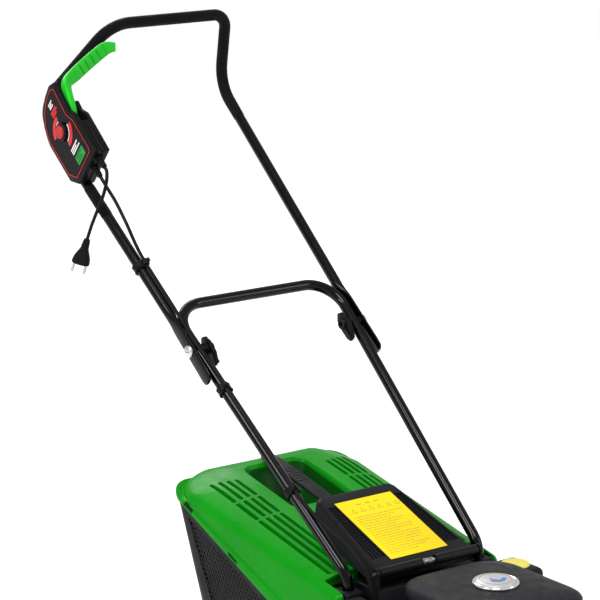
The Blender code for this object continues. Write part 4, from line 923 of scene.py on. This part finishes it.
def make_cover():
    """The skirt with its cooling vents and seams, and the domed top that sits on it."""
    skirt = cover_shell("skirt", [(0.0945, 0.1065, 0.05, 0.166), (0.094, 0.106, 0.05, 0.249)],
                        [(0.0915, 0.1035, 0.048, 0.15), (0.091, 0.103, 0.048, 0.26)])
    vents = []
    for side in (-1, 1):
        for k in range(9):
            y = MOTOR_Y - 0.052 + 0.013 * k
            vents.append(box_mesh("vent", (side * 0.085, y, 0.196), (side * 0.1, y + 0.0062, 0.232)))
    for k in range(6):
        x = -0.036 + 0.013 * k
        vents.append(box_mesh("vent", (x, MOTOR_Y - 0.115, 0.198), (x + 0.0062, MOTOR_Y - 0.098, 0.23)))
    seams = [box_mesh("seam", (side * 0.0935, MOTOR_Y + 0.063, 0.16), (side * 0.1, MOTOR_Y + 0.0642, 0.252))
             for side in (-1, 1)]
    skirt = cut(skirt, *vents, *seams)
    piece("cover_skirt", skirt, "cover", "chassis", "cover_plastic")
    band = [(0.0978, 0.1098, 0.052, 0.244), (0.098, 0.11, 0.052, 0.245), (0.098, 0.11, 0.052, 0.25),
            (0.0974, 0.1094, 0.051, 0.253), (0.0956, 0.1076, 0.05, 0.2556), (0.0926, 0.1046, 0.048, 0.2576),
            (0.088, 0.1, 0.045, 0.2592), (0.08, 0.092, 0.041, 0.261), (0.068, 0.08, 0.036, 0.2628),
            (0.054, 0.066, 0.03, 0.2644), (0.04, 0.052, 0.024, 0.2658)]
    inside = [(h - 0.0028, k - 0.0028, max(r - 0.002, 0.01), z - (0.02 if i == 0 else 0.0028))
              for i, (h, k, r, z) in enumerate(band)]
    top = cover_shell("top", band + [(0.03, 0.042, 0.02, 0.2663)], inside)
    piece("cover_top", top, "cover", "chassis", "cover_plastic", "motor_cover", sharp=30)

    paint("motor_can", "steel")
    paint("motor_shaft", "steel")


def make_badge():
    """A bright rim round a silver dome, with three plain printed arcs."""
    base, radius = 0.2666, 0.0288
    edge, rise = base + 0.0044, 0.004
    centre, up = (0, MOTOR_Y - 0.004, 0), (0, 0, 1)
    rim = [(0.029, base), (0.033, base), (0.0335, base + 0.0008), (0.0334, base + 0.003),
           (0.0322, base + 0.0046), (0.0304, base + 0.005), (0.029, edge)]
    piece("badge_rim", turned("badge_rim", rim, centre, up, 72), "chrome", "chassis", "chrome", sharp=50)
    dome = [(0, base + 0.0005), (radius, base + 0.0005), (radius, edge), *quarter(0, edge, radius, rise, 8),
            (0, base + 0.0084)]
    piece("badge_dome", turned("badge_dome", dome, centre, up, 72), "silver", "chassis", "chrome",
          "cover_badge", sharp=50)
    for name, look, r0, r1, a0, a1 in (("blue", "blue", 0.009, 0.015, 200, 330),
                                       ("pink", "pink", 0.006, 0.0095, 160, 250),
                                       ("ring", "print", 0.0225, 0.0232, 0, 359)):
        heights = [edge + rise * (1 - (r / radius) ** 2) ** 0.5 - 0.0003 for r in (r0, r1) for _ in range(41)]
        outline = arc_outline(centre, r0, r1, a0, a1, 40)
        rings = [[(x, y, z + lift) for (x, y), z in zip(outline, heights)] for lift in (0.0, 0.0008)]
        piece(f"badge_mark_{name}", loft("mark", rings), look, "chassis", "chrome", sharp=50)


def make_deck():
    """The moulded chassis: rounded bowl, tunnel, handle sockets, wheel shoulders and front pods."""
    axis, up = Vector((0, MOTOR_Y, 0)), (0, 0, 1)
    bowl = [(0, 0.042), (0.161, 0.042), (0.163, 0.044), (0.163, 0.049), (0.1595, 0.051), (0.1595, 0.112),
            *quarter(0.1245, 0.112, 0.035, 0.053), (0.1245, 0.165), (0, 0.165)]
    mesh = joined(turned("bowl", bowl, axis, up, 96), *deck_parts(axis))
    chamber = [(0, 0.03), (0.158, 0.03), (0.158, 0.112), (0.124, 0.145), (0, 0.145)]
    inside = [(MOTOR_Y, 0.052), (-0.14, 0.052), (-0.14, 0.229), (-0.2205, 0.229), (-0.24, 0.143),
              (MOTOR_Y, 0.143)]
    cutters = [turned("chamber", chamber, axis, up, 96), x_prism("inside", inside, -0.091, 0.091),
               rod("shaft", (0, MOTOR_Y, 0.1), (0, MOTOR_Y, 0.2), 0.01),
               x_rod("pin", -0.12, 0.12, HINGE_Y, HINGE_Z, 0.0032, 24)]
    for _, side in SIDES:
        leg = lower_leg(side, ELBOW_S)
        cutters.append(rod("socket", (leg.x, leg.y, 0.1497), (leg.x, leg.y, 0.25), TUBE_R + 0.0003))
        cutters.append(x_rod("screw", side * 0.15, leg.x, FOOT_SCREW_Y, FOOT_SCREW_Z, 0.0023, 16))
        for (_, y, radius, _), (x0, x1) in zip(WHEEL_ROWS, ((0.128, 0.19), (0.136, 0.2))):
            cutters.append(x_rod("stub", side * x0, side * x1, y, radius, AXLE_BORE_R, 24))
    mesh = cut(mesh, *cutters)
    piece("deck_moulding", mesh, "deck", "chassis", "deck_plastic", "deck_housing", sharp=30)


def deck_parts(axis):
    """What joins the bowl: the rear tunnel, the blocks of both sides, hinge ears, ribs and front webs."""
    tunnel = [(MOTOR_Y, 0.06), (-0.157, 0.06), (-0.157, 0.235), (-0.224, 0.235), (-0.2445, 0.165),
              (MOTOR_Y, 0.165)]
    parts = [bevelled(x_prism("tunnel", tunnel, -0.097, 0.097), 0.003, 3)]
    for _, side in SIDES:
        blocks = (((0.106, -0.2045, 0.052), (0.138, -0.1655, 0.232), 0.004),
                  ((0.088, -0.262, 0.054), (0.139, -0.1645, 0.164), 0.004),
                  ((0.118, -0.28, 0.158), (0.172, -0.2075, 0.231), 0.01),
                  ((0.1, -0.5203, 0.046), (0.152, -0.4723, 0.108), 0.007),
                  ((0.13, -0.249, 0.056), (0.16, -0.215, 0.104), 0.005),
                  ((0.0925, -0.2238, 0.228), (0.0966, -0.2082, 0.258), 0.0008))
        for low, high, radius in blocks:
            parts.append(bevelled(box_mesh("block", (side * low[0], *low[1:]), (side * high[0], *high[1:])),
                                  radius, 4))
        parts.append(x_rod("ear", side * 0.0926, side * 0.0965, HINGE_Y, HINGE_Z, 0.008))
        for k in range(3):
            y = -0.268 + 0.022 * k
            rib = box_mesh("rib", (side * 0.15, y, 0.166), (side * 0.1725, y + 0.003, 0.224))
            parts.append(bevelled(rib, 0.0008, 2))
    for k in range(7):
        a = radians(-150 + 20 * k)
        out = Vector((cos(a), sin(a), 0))
        across = Vector((-sin(a), cos(a), 0)) * 0.0016
        ring = strip(axis, out, across, 0.12, 0.1615)
        parts.append(loft("web", [[(p.x, p.y, z) for p in ring] for z in (0.058, 0.108)]))
    return parts


def make_foot_screws():
    """Cross-head screws that hold the lower handle in its sockets."""
    for name, side in SIDES:
        head = [(0, 0), (0.0042, 0), (0.005, 0.0008), (0.005, 0.0028), (0.0046, 0.0032), (0.002, 0.0032),
                (0.002, 0.01), (0, 0.01)]
        screw = turned("screw", head, (side * 0.1415, FOOT_SCREW_Y, FOOT_SCREW_Z), (-side, 0, 0), 32)
        cross = [box_mesh("cross", (side * 0.14, FOOT_SCREW_Y - a, FOOT_SCREW_Z - b),
                          (side * 0.145, FOOT_SCREW_Y + a, FOOT_SCREW_Z + b))
                 for a, b in ((0.0024, 0.0005), (0.0005, 0.0024))]
        piece(f"cross_screw_{name}", cut(screw, *cross), "zinc", "chassis", "zinc", f"foot_screw_{name}")


def make_round_cap():
    dome = [(0, 0), (0.0215, 0), (0.022, 0.0006), (0.0218, 0.0014), *quarter(0, 0.0014, 0.0216, 0.0046),
            (0, 0.006)]
    piece("round_cap", turned("round_cap", dome, (0.143, -0.244, 0.2313), (0, 0, 1), 56), "cap_yellow",
          "chassis", "cap_yellow", "deck_sticker")


def tread_ripple(i, k):
    """Cuts every fourth column of the two tread rows, the second row half a pitch on."""
    rows = {10: 0, 11: 0, 12: 2, 13: 2}
    return -0.0022 if k in rows and (i + rows[k]) % 4 == 0 else 0.0


def wheel_mesh(centre, radius, side):
    web = [(AXLE_BORE_R, 0.001), (0.0185, 0.001), (0.02, 0.0025), (0.0215, 0.008)]
    tyre = [(0.015, 0.0095), (0.0135, 0.008), (0.0125, 0.0015), (0.0115, 0.0), (0.005, 0.0), (0.0012, 0.0022),
            (0, 0.006), (0, 0.015), (0, 0.017), (0, 0.026), (0.0012, 0.0298), (0.005, 0.032),
            (0.0115, 0.032), (0.0125, 0.0305), (0.014, 0.0245), (0.016, 0.023)]
    hub = [(0.0245, 0.022), (0.0225, 0.024), (0.0215, 0.0255), (AXLE_BORE_R, 0.0255)]
    profile = web + [(radius - depth, height) for depth, height in tyre] + hub
    wheel = turned("wheel", profile, centre, (side, 0, 0), 144, tread_ripple)
    spokes = []
    for k in range(8):
        a = 2 * pi * (k + 0.5) / 8
        across = Vector((0, -sin(a), cos(a))) * 0.0018
        ring = strip(centre, Vector((0, cos(a), sin(a))), across, 0.022, radius - 0.0138)
        spokes.append(loft("spoke", [[p + Vector((side * d, 0, 0)) for p in ring] for d in (0.015, 0.0272)]))
    return joined(wheel, *spokes)


def make_wheels():
    low = 0.0258
    cap = [(0, low)] + [(r, low + h) for r, h in (
        (0.0195, 0), (0.02, 0.0005), (0.02, 0.0026), (0.0185, 0.0042), (0.016, 0.0052), (0.015, 0.0046),
        (0.0135, 0.0046), (0.012, 0.0062), (0.006, 0.007), (0, 0.0072))]
    for end, y, radius, wheel_x in WHEEL_ROWS:
        for name, side in SIDES:
            centre, place = Vector((side * wheel_x, y, radius)), f"{end}_{name}"
            piece(f"ribbed_wheel_{place}", wheel_mesh(centre, radius, side), "tyre", f"wheel_{place}",
                  "tyre_black", f"wheel_{place}", sharp=35)
            piece(f"hub_cap_{place}", turned("cap", cap, centre, (side, 0, 0), 56), "cap", f"wheel_{place}",
                  "cap_grey", f"wheel_cap_{place}")
            paint(f"stub_axle_{place}", "steel")


def make_rotor():
    for node, key in (("blade_fan_hub", "deck"), ("blade_bolt", "zinc")):
        paint(node, key)
    half, thick = 0.0225, 0.003
    rings = []
    for i in range(41):
        x = lerp(-0.15, 0.15, i / 40)
        lift = 0.01 * smoothstep(0.104, 0.119, abs(x))
        front, rear = (lift, 0.0) if x < 0 else (0.0, lift)
        edge = 0.0 if abs(x) < 0.085 else 0.0011
        low = [(x, -half, front + edge * (x > 0)), (x, -half * 0.4, 0), (x, half * 0.4, 0),
               (x, half, rear + edge * (x < 0))]
        high = [(px, py, pz + thick if 0 < k < 3 else pz + thick - edge)
                for k, (px, py, pz) in reversed(list(enumerate(low)))]
        rings.append([(px, MOTOR_Y + py, 0.0522 + pz) for px, py, pz in low + high])
    hole = rod("hole", (0, MOTOR_Y, 0.04), (0, MOTOR_Y, 0.07), 0.0045, 24)
    blade = cut(loft("blade", rings), hole)
    piece("blade_bar", blade, "steel", "rotor", "steel", "cutting_blade", sharp=30)


# ---------------------------------------------------------------- rear guard

def flap_top(y):
    return HINGE_Z + (y - HINGE_Y) * (FLAP_REAR_Z - HINGE_Z) / (FLAP_REAR_Y - HINGE_Y)


def plate_plane(y):
    """The face of the guard that the warning plate lies on."""
    return flap_top(y) + 0.0012


def lid_plane(y):
    return LID_Z0 + LID_SLOPE * y


def flap_ring(front_y, inset, height, steps=8):
    def half(y):
        return lerp(HINGE_X - 0.0015, FLAP_REAR_X, (y - HINGE_Y) / (FLAP_REAR_Y - HINGE_Y)) - inset
    rear = FLAP_REAR_Y - max(inset, -0.004)
    radius = 0.012
    ys = [lerp(front_y, rear - radius, t) for t in (0, 0.25, 0.5, 0.75)]
    right = [(half(y), y) for y in ys]
    for i in range(steps + 1):
        a = radians(90 * i / steps)
        right.append((half(rear) - radius + radius * cos(a), rear - radius + radius * sin(a)))
    outline = right + [(-x, y) for x, y in reversed(right)]
    return [(x, y, height(y)) for x, y in outline]


def make_flap():
    def rest(y):
        return lid_plane(y) + 0.0105

    def between(t, lift=0.0):
        return lambda y: lerp(rest(y), flap_top(y), t) + lift

    rings = [flap_ring(-0.2105, -0.006, rest), flap_ring(-0.2105, -0.0052, between(0.1)),
             flap_ring(-0.2105, -0.001, between(0.86)), flap_ring(-0.2105, 0.0006, between(0.96)),
             flap_ring(-0.2105, 0.0026, between(1.0, 0.0004)),
             flap_ring(-0.2105, 0.0055, between(1.0, 0.0012))]
    shell = loft("guard", rings)
    inside = loft("inside", [flap_ring(-0.204, -0.004, lambda y: rest(y) - 0.02),
                             flap_ring(-0.204, 0.004, lambda y: flap_top(y) - 0.004)])
    shell = cut(shell, inside)
    shell = joined(shell, x_rod("barrel", -0.0905, 0.0905, HINGE_Y, HINGE_Z, 0.0075, 40))
    cutters = [box_mesh("spring_gap", (-0.013, HINGE_Y - 0.01, HINGE_Z - 0.01),
                        (0.013, HINGE_Y + 0.0068, HINGE_Z + 0.012)),
               x_rod("pin", -0.12, 0.12, HINGE_Y, HINGE_Z, 0.0033, 24)]
    for _, side in SIDES:
        cutters.append(box_mesh("ear", (side * 0.0914, -0.24, 0.2), (side * 0.12, -0.2064, 0.3)))
        sunk = [(side * PANEL_INNER_X, PANEL_FRONT_Y), (side * PANEL_FRONT_X, PANEL_FRONT_Y),
                (side * PANEL_REAR_X, PANEL_REAR_Y), (side * PANEL_INNER_X, PANEL_REAR_Y)]
        cutters.append(sloped_prism("sunk", sunk, plate_plane, -0.0028, 0.01))
    shell = cut(shell, *cutters)
    ribs = []
    half = 0.0006
    for _, side in SIDES:
        for share in (0.28, 0.52, 0.76):
            x0, x1 = (lerp(PANEL_INNER_X, x, share) for x in (PANEL_FRONT_X, PANEL_REAR_X))
            outline = [(side * (x0 - half), -0.1885), (side * (x0 + half), -0.1885),
                       (side * (x1 + half), -0.0655), (side * (x1 - half), -0.0655)]
            ribs.append(sloped_prism("rib", outline, flap_top, -0.0022, 0.0001))
        for y in (-0.1, -0.144):
            share = (y - PANEL_FRONT_Y) / (PANEL_REAR_Y - PANEL_FRONT_Y)
            wide = lerp(PANEL_FRONT_X, PANEL_REAR_X, share) + 0.001
            outline = [(side * 0.054, y), (side * wide, y), (side * wide, y + 0.0012),
                       (side * 0.054, y + 0.0012)]
            ribs.append(sloped_prism("cross", outline, flap_top, -0.0024, 0.0002))
    shell = joined(shell, *ribs)
    piece("guard_hood", shell, "flap", "rear_flap", "flap_plastic", "rear_flap", sharp=32)
    paint("flap_hinge_pin", "steel")
    paint("flap_spring", "steel")
    make_label()


def make_label():
    """The yellow plate with rows of plain dashes and a few simple signs, none of them lettering."""
    low, high = 0.0007, 0.00095

    def slab(name, x0, x1, y0, y1, low=low, high=high):
        return sloped_prism(name, [(x1, y0), (x1, y1), (x0, y1), (x0, y0)], plate_plane, low, high)

    plate = bevelled(slab("plate", -0.0525, 0.0525, -0.197, -0.061, 0.0003, 0.0008), 0.0002, 1)
    piece("warning_plate", plate, "yellow", "rear_flap", "label_yellow", "flap_label")
    meshes = []
    row_x, row_length, row_pitch, word_gap = -0.044, 0.088, 0.0053, 0.0016
    widths = (0.94, 0.86, 0.9, 0.62, 0.92, 0.8, 0.88, 0.55, 0.9, 0.84, 0.7)
    for row in range(17):
        y = -0.101 - row_pitch * row
        share = widths[(row * 5) % len(widths)]
        x = row_x
        word = 0
        while x < row_x + row_length * share - 0.004:
            length = 0.004 + 0.0022 * ((row * 7 + word * 3) % 4)
            meshes.append(slab("dash", x, min(x + length, -row_x), y, y + 0.0014))
            x += length + word_gap
            word += 1
    for k in range(6):
        x = -0.04 + 0.016 * k
        y = -0.09
        outer = [(x, y), (x + 0.01, y), (x + 0.005, y + 0.0095)]
        inner = [(x + 0.0018, y + 0.0011), (x + 0.0082, y + 0.0011), (x + 0.005, y + 0.0074)]
        rings = [[(px, py, plate_plane(py) + dz) for px, py in line]
                 for dz, line in ((low, outer), (high, outer), (high, inner), (low, inner))]
        meshes.append(loft("sign", rings, ring_closed=True))
    for k in range(3):
        meshes.append(slab("sign_bar", -0.021 + 0.016 * k, -0.012 + 0.016 * k, -0.0745, -0.0725))
    bm = bmesh.new()
    for mesh in meshes:
        bm.from_mesh(mesh)
    print_mesh = bpy.data.meshes.new("plate_print")
    bm.to_mesh(print_mesh)
    bm.free()
    piece("plate_print", print_mesh, "print", "rear_flap", "label_yellow")


# ---------------------------------------------------------------- grass box

def part_plane(y):
    return PART_Z0 + PART_SLOPE * y


def taper(y):
    """The sides of the box draw in towards its front."""
    return 1 - BOX_TAPER * (BOX_WIDEST_Y - y)


def box_ring(half, rear, front, radius, height):
    return [(x * taper(y), y, height(y)) for x, y in rounded_rect(half, front, rear, 0.01, radius, 14)]


def lid_levels():
    """(half width, rear edge, rear corner, share of the way from parting plane to top, lift, crown)."""
    levels = [(0.168, 0.214, 0.04, 0.0, 0.0005, 0.0), (0.168, 0.214, 0.04, 0.0, 0.004, 0.0)]
    for t, out in ((0.03, 0.0004), (0.12, 0.0006), (0.215, 0.0006), (0.235, -0.0002), (0.26, -0.0009),
                   (0.3, -0.001), (0.5, -0.0006), (0.75, 0.0), (0.92, 0.0), (1.0, 0.0)):
        levels.append((lerp(0.1678, 0.1604, t) + out, lerp(0.2138, 0.2114, t) + out, lerp(0.04, 0.05, t), t,
                       lerp(0.005, -0.012, t), t))
    levels += [(0.1598, 0.2108, 0.05, 1.0, -0.0103, 1.0), (0.1589, 0.2098, 0.051, 1.0, -0.0082, 1.0),
               (0.1574, 0.208, 0.052, 1.0, -0.0058, 1.0), (0.1551, 0.2054, 0.054, 1.0, -0.0036, 1.0),
               (0.152, 0.2022, 0.055, 1.0, -0.0018, 1.0), (0.1465, 0.1965, 0.056, 1.0, -0.0002, 1.0),
               (0.137, 0.188, 0.057, 1.0, 0.0018, 0.77), (0.1215, 0.1745, 0.057, 1.0, 0.0041, 0.4),
               (0.105, 0.16, 0.055, 1.0, 0.006, 0.0), (0.082, 0.14, 0.055, 1.0, 0.0074, 0.0),
               (0.06, 0.12, 0.055, 1.0, 0.0085, 0.0)]
    return levels


def rear_crown(x, y):
    """How far the rear edge of the lid rises at its middle and falls at its corners."""
    return min(1.0, max(0.0, (y - 0.1) / 0.08)) * (0.0085 - 0.85 * x * x)


def lid_rings(inset, drop):
    rings = []
    for k, (half, rear, radius, share, lift, crown) in enumerate(lid_levels()):
        lower = 0.02 if (k == 0 and drop) else drop
        front = CHEEK_FRONT_Y + inset + (0.03 if half < 0.12 else 0.0)
        ring = box_ring(half - inset, rear - inset, front, radius - inset,
                        lambda y: lerp(part_plane(y), lid_plane(y), share) + lift - lower)
        rings.append([(x, y, z + crown * rear_crown(x, y)) for x, y, z in ring])
    return rings


def tub(grow, bottom, rim):
    """The hand recess; bottom is how deep it goes, and rim gives the height of its upper edge."""
    rings = [box_ring(0.04 + grow, 0.154 + grow, 0.053 - grow, 0.014, lambda y: lid_plane(y) - bottom),
             box_ring(0.043 + grow, 0.157 + grow, 0.05 - grow, 0.016, lambda y: lid_plane(y) - bottom + 0.003),
             box_ring(0.057 + grow, 0.172 + grow, 0.034 - grow, 0.019, rim)]
    return rings


def slot_outline(x, y0, y1, half=0.0034):
    points = []
    for centre, start in ((y1 - half, 0), (y0 + half, 180)):
        for i in range(9):
            a = radians(start + 180 * i / 8)
            points.append((x + half * cos(a), centre + half * sin(a)))
    return points


LATCH_YS = (0.042, 0.156)


def latch_block(name, side, y, reach, low, high, inner, outer):
    """A block at the lid's lower edge, by its heights over the parting plane and distances from the wall."""
    corners = ((y - reach, low), (y + reach, low), (y + reach, high), (y - reach, high))
    wall = LID_HALF * taper(y)
    return loft(name, [[(side * x, py, part_plane(py) + dz) for py, dz in corners]
                       for x in (wall + inner, wall + outer)])


def make_lid():
    shell = loft("lid", lid_rings(0.0, 0.0))
    shell = cut(shell, loft("inside", lid_rings(0.0028, 0.0028)),
                box_mesh("foot_notch", (-CHEEK_X, -0.3, 0.05), (CHEEK_X, LID_FRONT_Y, 0.4)))

    def rim(y, lift):
        return lid_plane(y) + lift - max(0.0, y - 0.15) * 0.05

    shell = joined(shell, loft("tub", tub(0.0028, 0.046, lambda y: rim(y, 0.0062))))
    inner = tub(0.0, 0.0432, lambda y: lid_plane(y) + 0.003)
    for grow, lift in ((0.0006, 0.0052), (0.0016, 0.0068), (0.0034, 0.008), (0.006, 0.009), (0.006, 0.016)):
        inner.append(box_ring(0.057 + grow, 0.172 + grow, 0.034 - grow, 0.019 + grow, lambda y: rim(y, lift)))
    shell = cut(shell, loft("tub", inner))
    # Painted shade: a thin dark green sheet over the inside of the hand recess copies the shade in it; the lid
    # plastic itself is the lighter green.
    shade_lining = cut(loft("shade_lining", tub(-0.0002, 0.043, lambda y: lid_plane(y) + 0.0006)),
                 loft("hollow", tub(-0.0012, 0.0418, lambda y: lid_plane(y) + 0.008)))
    piece("recess_shade_sheet", shade_lining, "shaded_green", "grass_box", "lid_green", sharp=30)
    cutters, pans = [], []
    for _, side in SIDES:
        rings = []
        for y, outer in ((-0.152, 0.0004), (0.1, 0.0004), (0.158, -0.0022)):
            section = ((0.078, -0.014), (0.132, -0.014), (0.132, outer), (0.078, 0.0056))
            rings.append([(side * x, y, lid_plane(y) + dz) for x, dz in section])
        pans.append(loft("pan", rings))
        for column, x in enumerate((0.126, 0.113, 0.1, 0.087)):
            for y0, y1 in ((0.088, 0.155 - 0.004 * column), (0.03, 0.084), (-0.148, 0.026)):
                cutters.append(sloped_prism("slot", slot_outline(side * x, y0, y1), lid_plane, -0.009, 0.04))
    shell = joined(shell, *pans)
    shell = cut(shell, *cutters)
    notches = [latch_block("notch", side, y, 0.011, 0.0016, 0.0076, -0.009, 0.01)
               for _, side in SIDES for y in LATCH_YS]
    shell = cut(shell, *notches)
    piece("lid_shell", shell, "green", "grass_box", "lid_green", "box_lid", sharp=28)
    for name, side in SIDES:
        for number, y in enumerate(LATCH_YS):
            tab = latch_block("tab", side, y, 0.0104, 0.0021, 0.0071, -0.0085, -0.002)
            piece(f"latch_tab_{name}_{number}", bevelled(tab, 0.0008, 2), "net", "grass_box", "mesh_plastic")


def make_carry_bar():
    """The bar over the hand recess: thin ends, a slight arch and six grip grooves."""
    turns = [2 * pi * i / 24 for i in range(24)]
    section = [(signed_power(cos(a), 0.35), signed_power(sin(a), 0.55)) for a in turns]
    rings = []
    for y, half, lift, thick in ((0.1865, 0.007, 0.0, 0.0016), (0.1855, 0.0095, 0.0, 0.0022),
                                 (0.18, 0.0122, 0.0, 0.0024), (0.165, 0.013, 0.0006, 0.0026),
                                 (0.15, 0.013, 0.0012, 0.0029), (0.105, 0.013, 0.0016, 0.003),
                                 (0.06, 0.013, 0.0012, 0.0029), (0.04, 0.013, 0.0006, 0.0026),
                                 (0.024, 0.0122, 0.0, 0.0024), (0.0185, 0.01, 0.0, 0.0022),
                                 (0.0175, 0.0075, 0.0, 0.0016)):
        rings.append([(half * u, y, lid_plane(y) + 0.0115 + lift + thick * v) for u, v in section])
    bar = loft("bar", rings)
    grooves = [x_rod("groove", -0.0105, 0.0105, y, lid_plane(y) + 0.0163, 0.0012, 12)
               for y in (0.085, 0.093, 0.101, 0.109, 0.117, 0.125)]
    piece("carry_bar", cut(bar, *grooves), "flap", "grass_box", "flap_plastic", "box_carry_handle")


# How deep in the walls of the box lie the two faces of its net, and of the grey sheet behind the net, whose
# colour is painted shade copying the dim inside of the box seen through the holes.
NET_DEPTHS = (0.0008, 0.0023, 0.006, 0.0068)
HEX_CORNERS = ((1, 1), (0, 2), (-1, 1), (-1, -1), (0, -2), (1, -1))


def hex_net(name, inside, place, reach, pitch=0.0078, open_share=0.76):
    """A net of six-sided holes where inside(u, v) holds; place(u, v, depth) puts a point of it in space."""
    bm = bmesh.new()
    shared, uses = {}, {}
    step_u, step_v = pitch / 2, pitch / (2 * 3 ** 0.5)

    def corner(key, depth):
        if (key, depth) not in shared:
            shared[key, depth] = bm.verts.new(place(key[0] * step_u, key[1] * step_v, depth))
        return shared[key, depth]
    (u0, u1), (v0, v1) = reach
    for row in range(round(v0 / (3 * step_v)) - 1, round(v1 / (3 * step_v)) + 2):
        for column in range(round(u0 / pitch) - 1, round(u1 / pitch) + 2):
            centre = (2 * column + row % 2, 3 * row)
            cu, cv = centre[0] * step_u, centre[1] * step_v
            if not inside(cu, cv):
                continue
            keys = [(centre[0] + a, centre[1] + b) for a, b in HEX_CORNERS]
            hole = [[bm.verts.new(place(cu + a * step_u * open_share, cv + b * step_v * open_share, depth))
                     for a, b in HEX_CORNERS] for depth in (0, 1)]
            for k in range(6):
                j = (k + 1) % 6
                for depth in (0, 1):
                    outer = corner(keys[k], depth), corner(keys[j], depth)
                    bm.faces.new((*outer, hole[depth][j], hole[depth][k]))
                bm.faces.new((hole[0][k], hole[0][j], hole[1][j], hole[1][k]))
                edge = frozenset((keys[k], keys[j]))
                uses[edge] = uses.get(edge, 0) + 1
    for edge, count in uses.items():
        if count == 1:
            a, b = edge
            bm.faces.new((corner(a, 0), corner(b, 0), corner(b, 1), corner(a, 1)))
    bmesh.ops.recalc_face_normals(bm, faces=bm.faces)
    mesh = bpy.data.meshes.new(name)
    bm.to_mesh(mesh)
    bm.free()
    return mesh


def in_polygon(polygon, u, v):
    """Whether a point lies inside a convex outline given anticlockwise."""
    return all((b[0] - a[0]) * (v - a[1]) - (b[1] - a[1]) * (u - a[0]) >= 0
               for a, b in zip(polygon, polygon[1:] + polygon[:1]))


def make_box_body():
    def top(y):
        return part_plane(y) - 0.0004

    def wall_share(y, z):
        return (z - (BOX_LOW_Z + 0.004)) / (top(y) - BOX_LOW_Z - 0.004)

    shell = loft("basket", [
        box_ring(0.147, 0.15, -0.148, 0.037, lambda y: BOX_LOW_Z),
        box_ring(0.1492, 0.153, -0.149, 0.039, lambda y: BOX_LOW_Z + 0.0012),
        box_ring(0.15, 0.154, -0.15, 0.04, lambda y: BOX_LOW_Z + 0.004),
        box_ring(0.1655, 0.2115, LID_FRONT_Y, 0.04, top)])
    shell = cut(shell, loft("inside", [
        box_ring(0.1472, 0.151, -0.18, 0.038, lambda y: BOX_LOW_Z + 0.0028),
        box_ring(0.1627, 0.2087, -0.18, 0.038, lambda y: top(y) + 0.004)]))
    side_window = [(-0.128, 0.092), (0.098, 0.092), (0.16, top(0.16) - 0.012), (-0.136, top(-0.136) - 0.012)]
    rear_window = [(-0.098, 0.094), (0.098, 0.094), (0.112, 0.276), (-0.112, 0.276)]
    cutters = [x_prism("window", side_window, side * 0.11, side * 0.18) for _, side in SIDES]
    cutters.append(y_prism("window", rear_window, 0.1, 0.25))
    shell = cut(shell, *cutters)
    piece("basket_shell", shell, "net", "grass_box", "mesh_plastic", "box_body", sharp=30)

    def on_side(side):
        def place(u, v, depth):
            x = lerp(0.15, 0.1655, wall_share(u, v)) * taper(u) - NET_DEPTHS[depth]
            return (side * x, u, v)
        return place

    def on_rear(u, v, depth):
        share = (v - 0.076) / (top(0.2115) - 0.076)
        return (u, lerp(0.154, 0.2115, share) - (0.0008, 0.0024, *NET_DEPTHS[2:])[depth], v)

    windows = [(name, side_window, on_side(side), ((-0.14, 0.16), (0.08, 0.27))) for name, side in SIDES]
    windows.append(("rear", rear_window, on_rear, ((-0.12, 0.12), (0.08, 0.29))))
    for name, window, place, reach in windows:
        wide = inset_outline(window, -0.003)
        net = hex_net("net", lambda u, v: in_polygon(wide, u, v), place, reach)
        piece(f"basket_net_{name}", net, "net", "grass_box", "mesh_plastic", sharp=30)
        # A sheet behind each net; its grey is painted shade copying the dim inside of the box seen through the
        # holes.
        shade_backing = loft("shade_backing", [[place(u, v, depth) for u, v in wide] for depth in (2, 3)])
        piece(f"basket_shade_sheet_{name}", shade_backing, "shade_lining", "grass_box", "mesh_plastic", sharp=30)


def make_mouth_frame():
    """The frame round the mouth that meets the tunnel of the deck."""
    sides = [(0.137, 0.0763), (0.15, 0.134), (0.14, 0.23)]
    outline = sides + [(-x, z) for x, z in reversed(sides)]
    rim = bevelled(y_prism("mouth_frame", outline, LID_FRONT_Y + 0.0006, LID_FRONT_Y + 0.0056), 0.001, 3)
    mouth = bevelled(box_mesh("mouth", (-0.09, -0.2, 0.084), (0.09, -0.1, 0.22)), 0.01, 5)
    piece("mouth_frame", cut(rim, mouth), "flap", "grass_box", "flap_plastic", "box_front_frame", sharp=30)


# ---------------------------------------------------------------- everything, in order

make_stage()
materials = make_materials()
for make in (make_cables, make_handle, make_fold_hardware, make_clips, make_switch_box, make_trigger,
             make_deck, make_foot_screws, make_round_cap, make_cover, make_badge, make_wheels, make_rotor,
             make_flap, make_lid, make_carry_bar, make_box_body, make_mouth_frame):
    make()
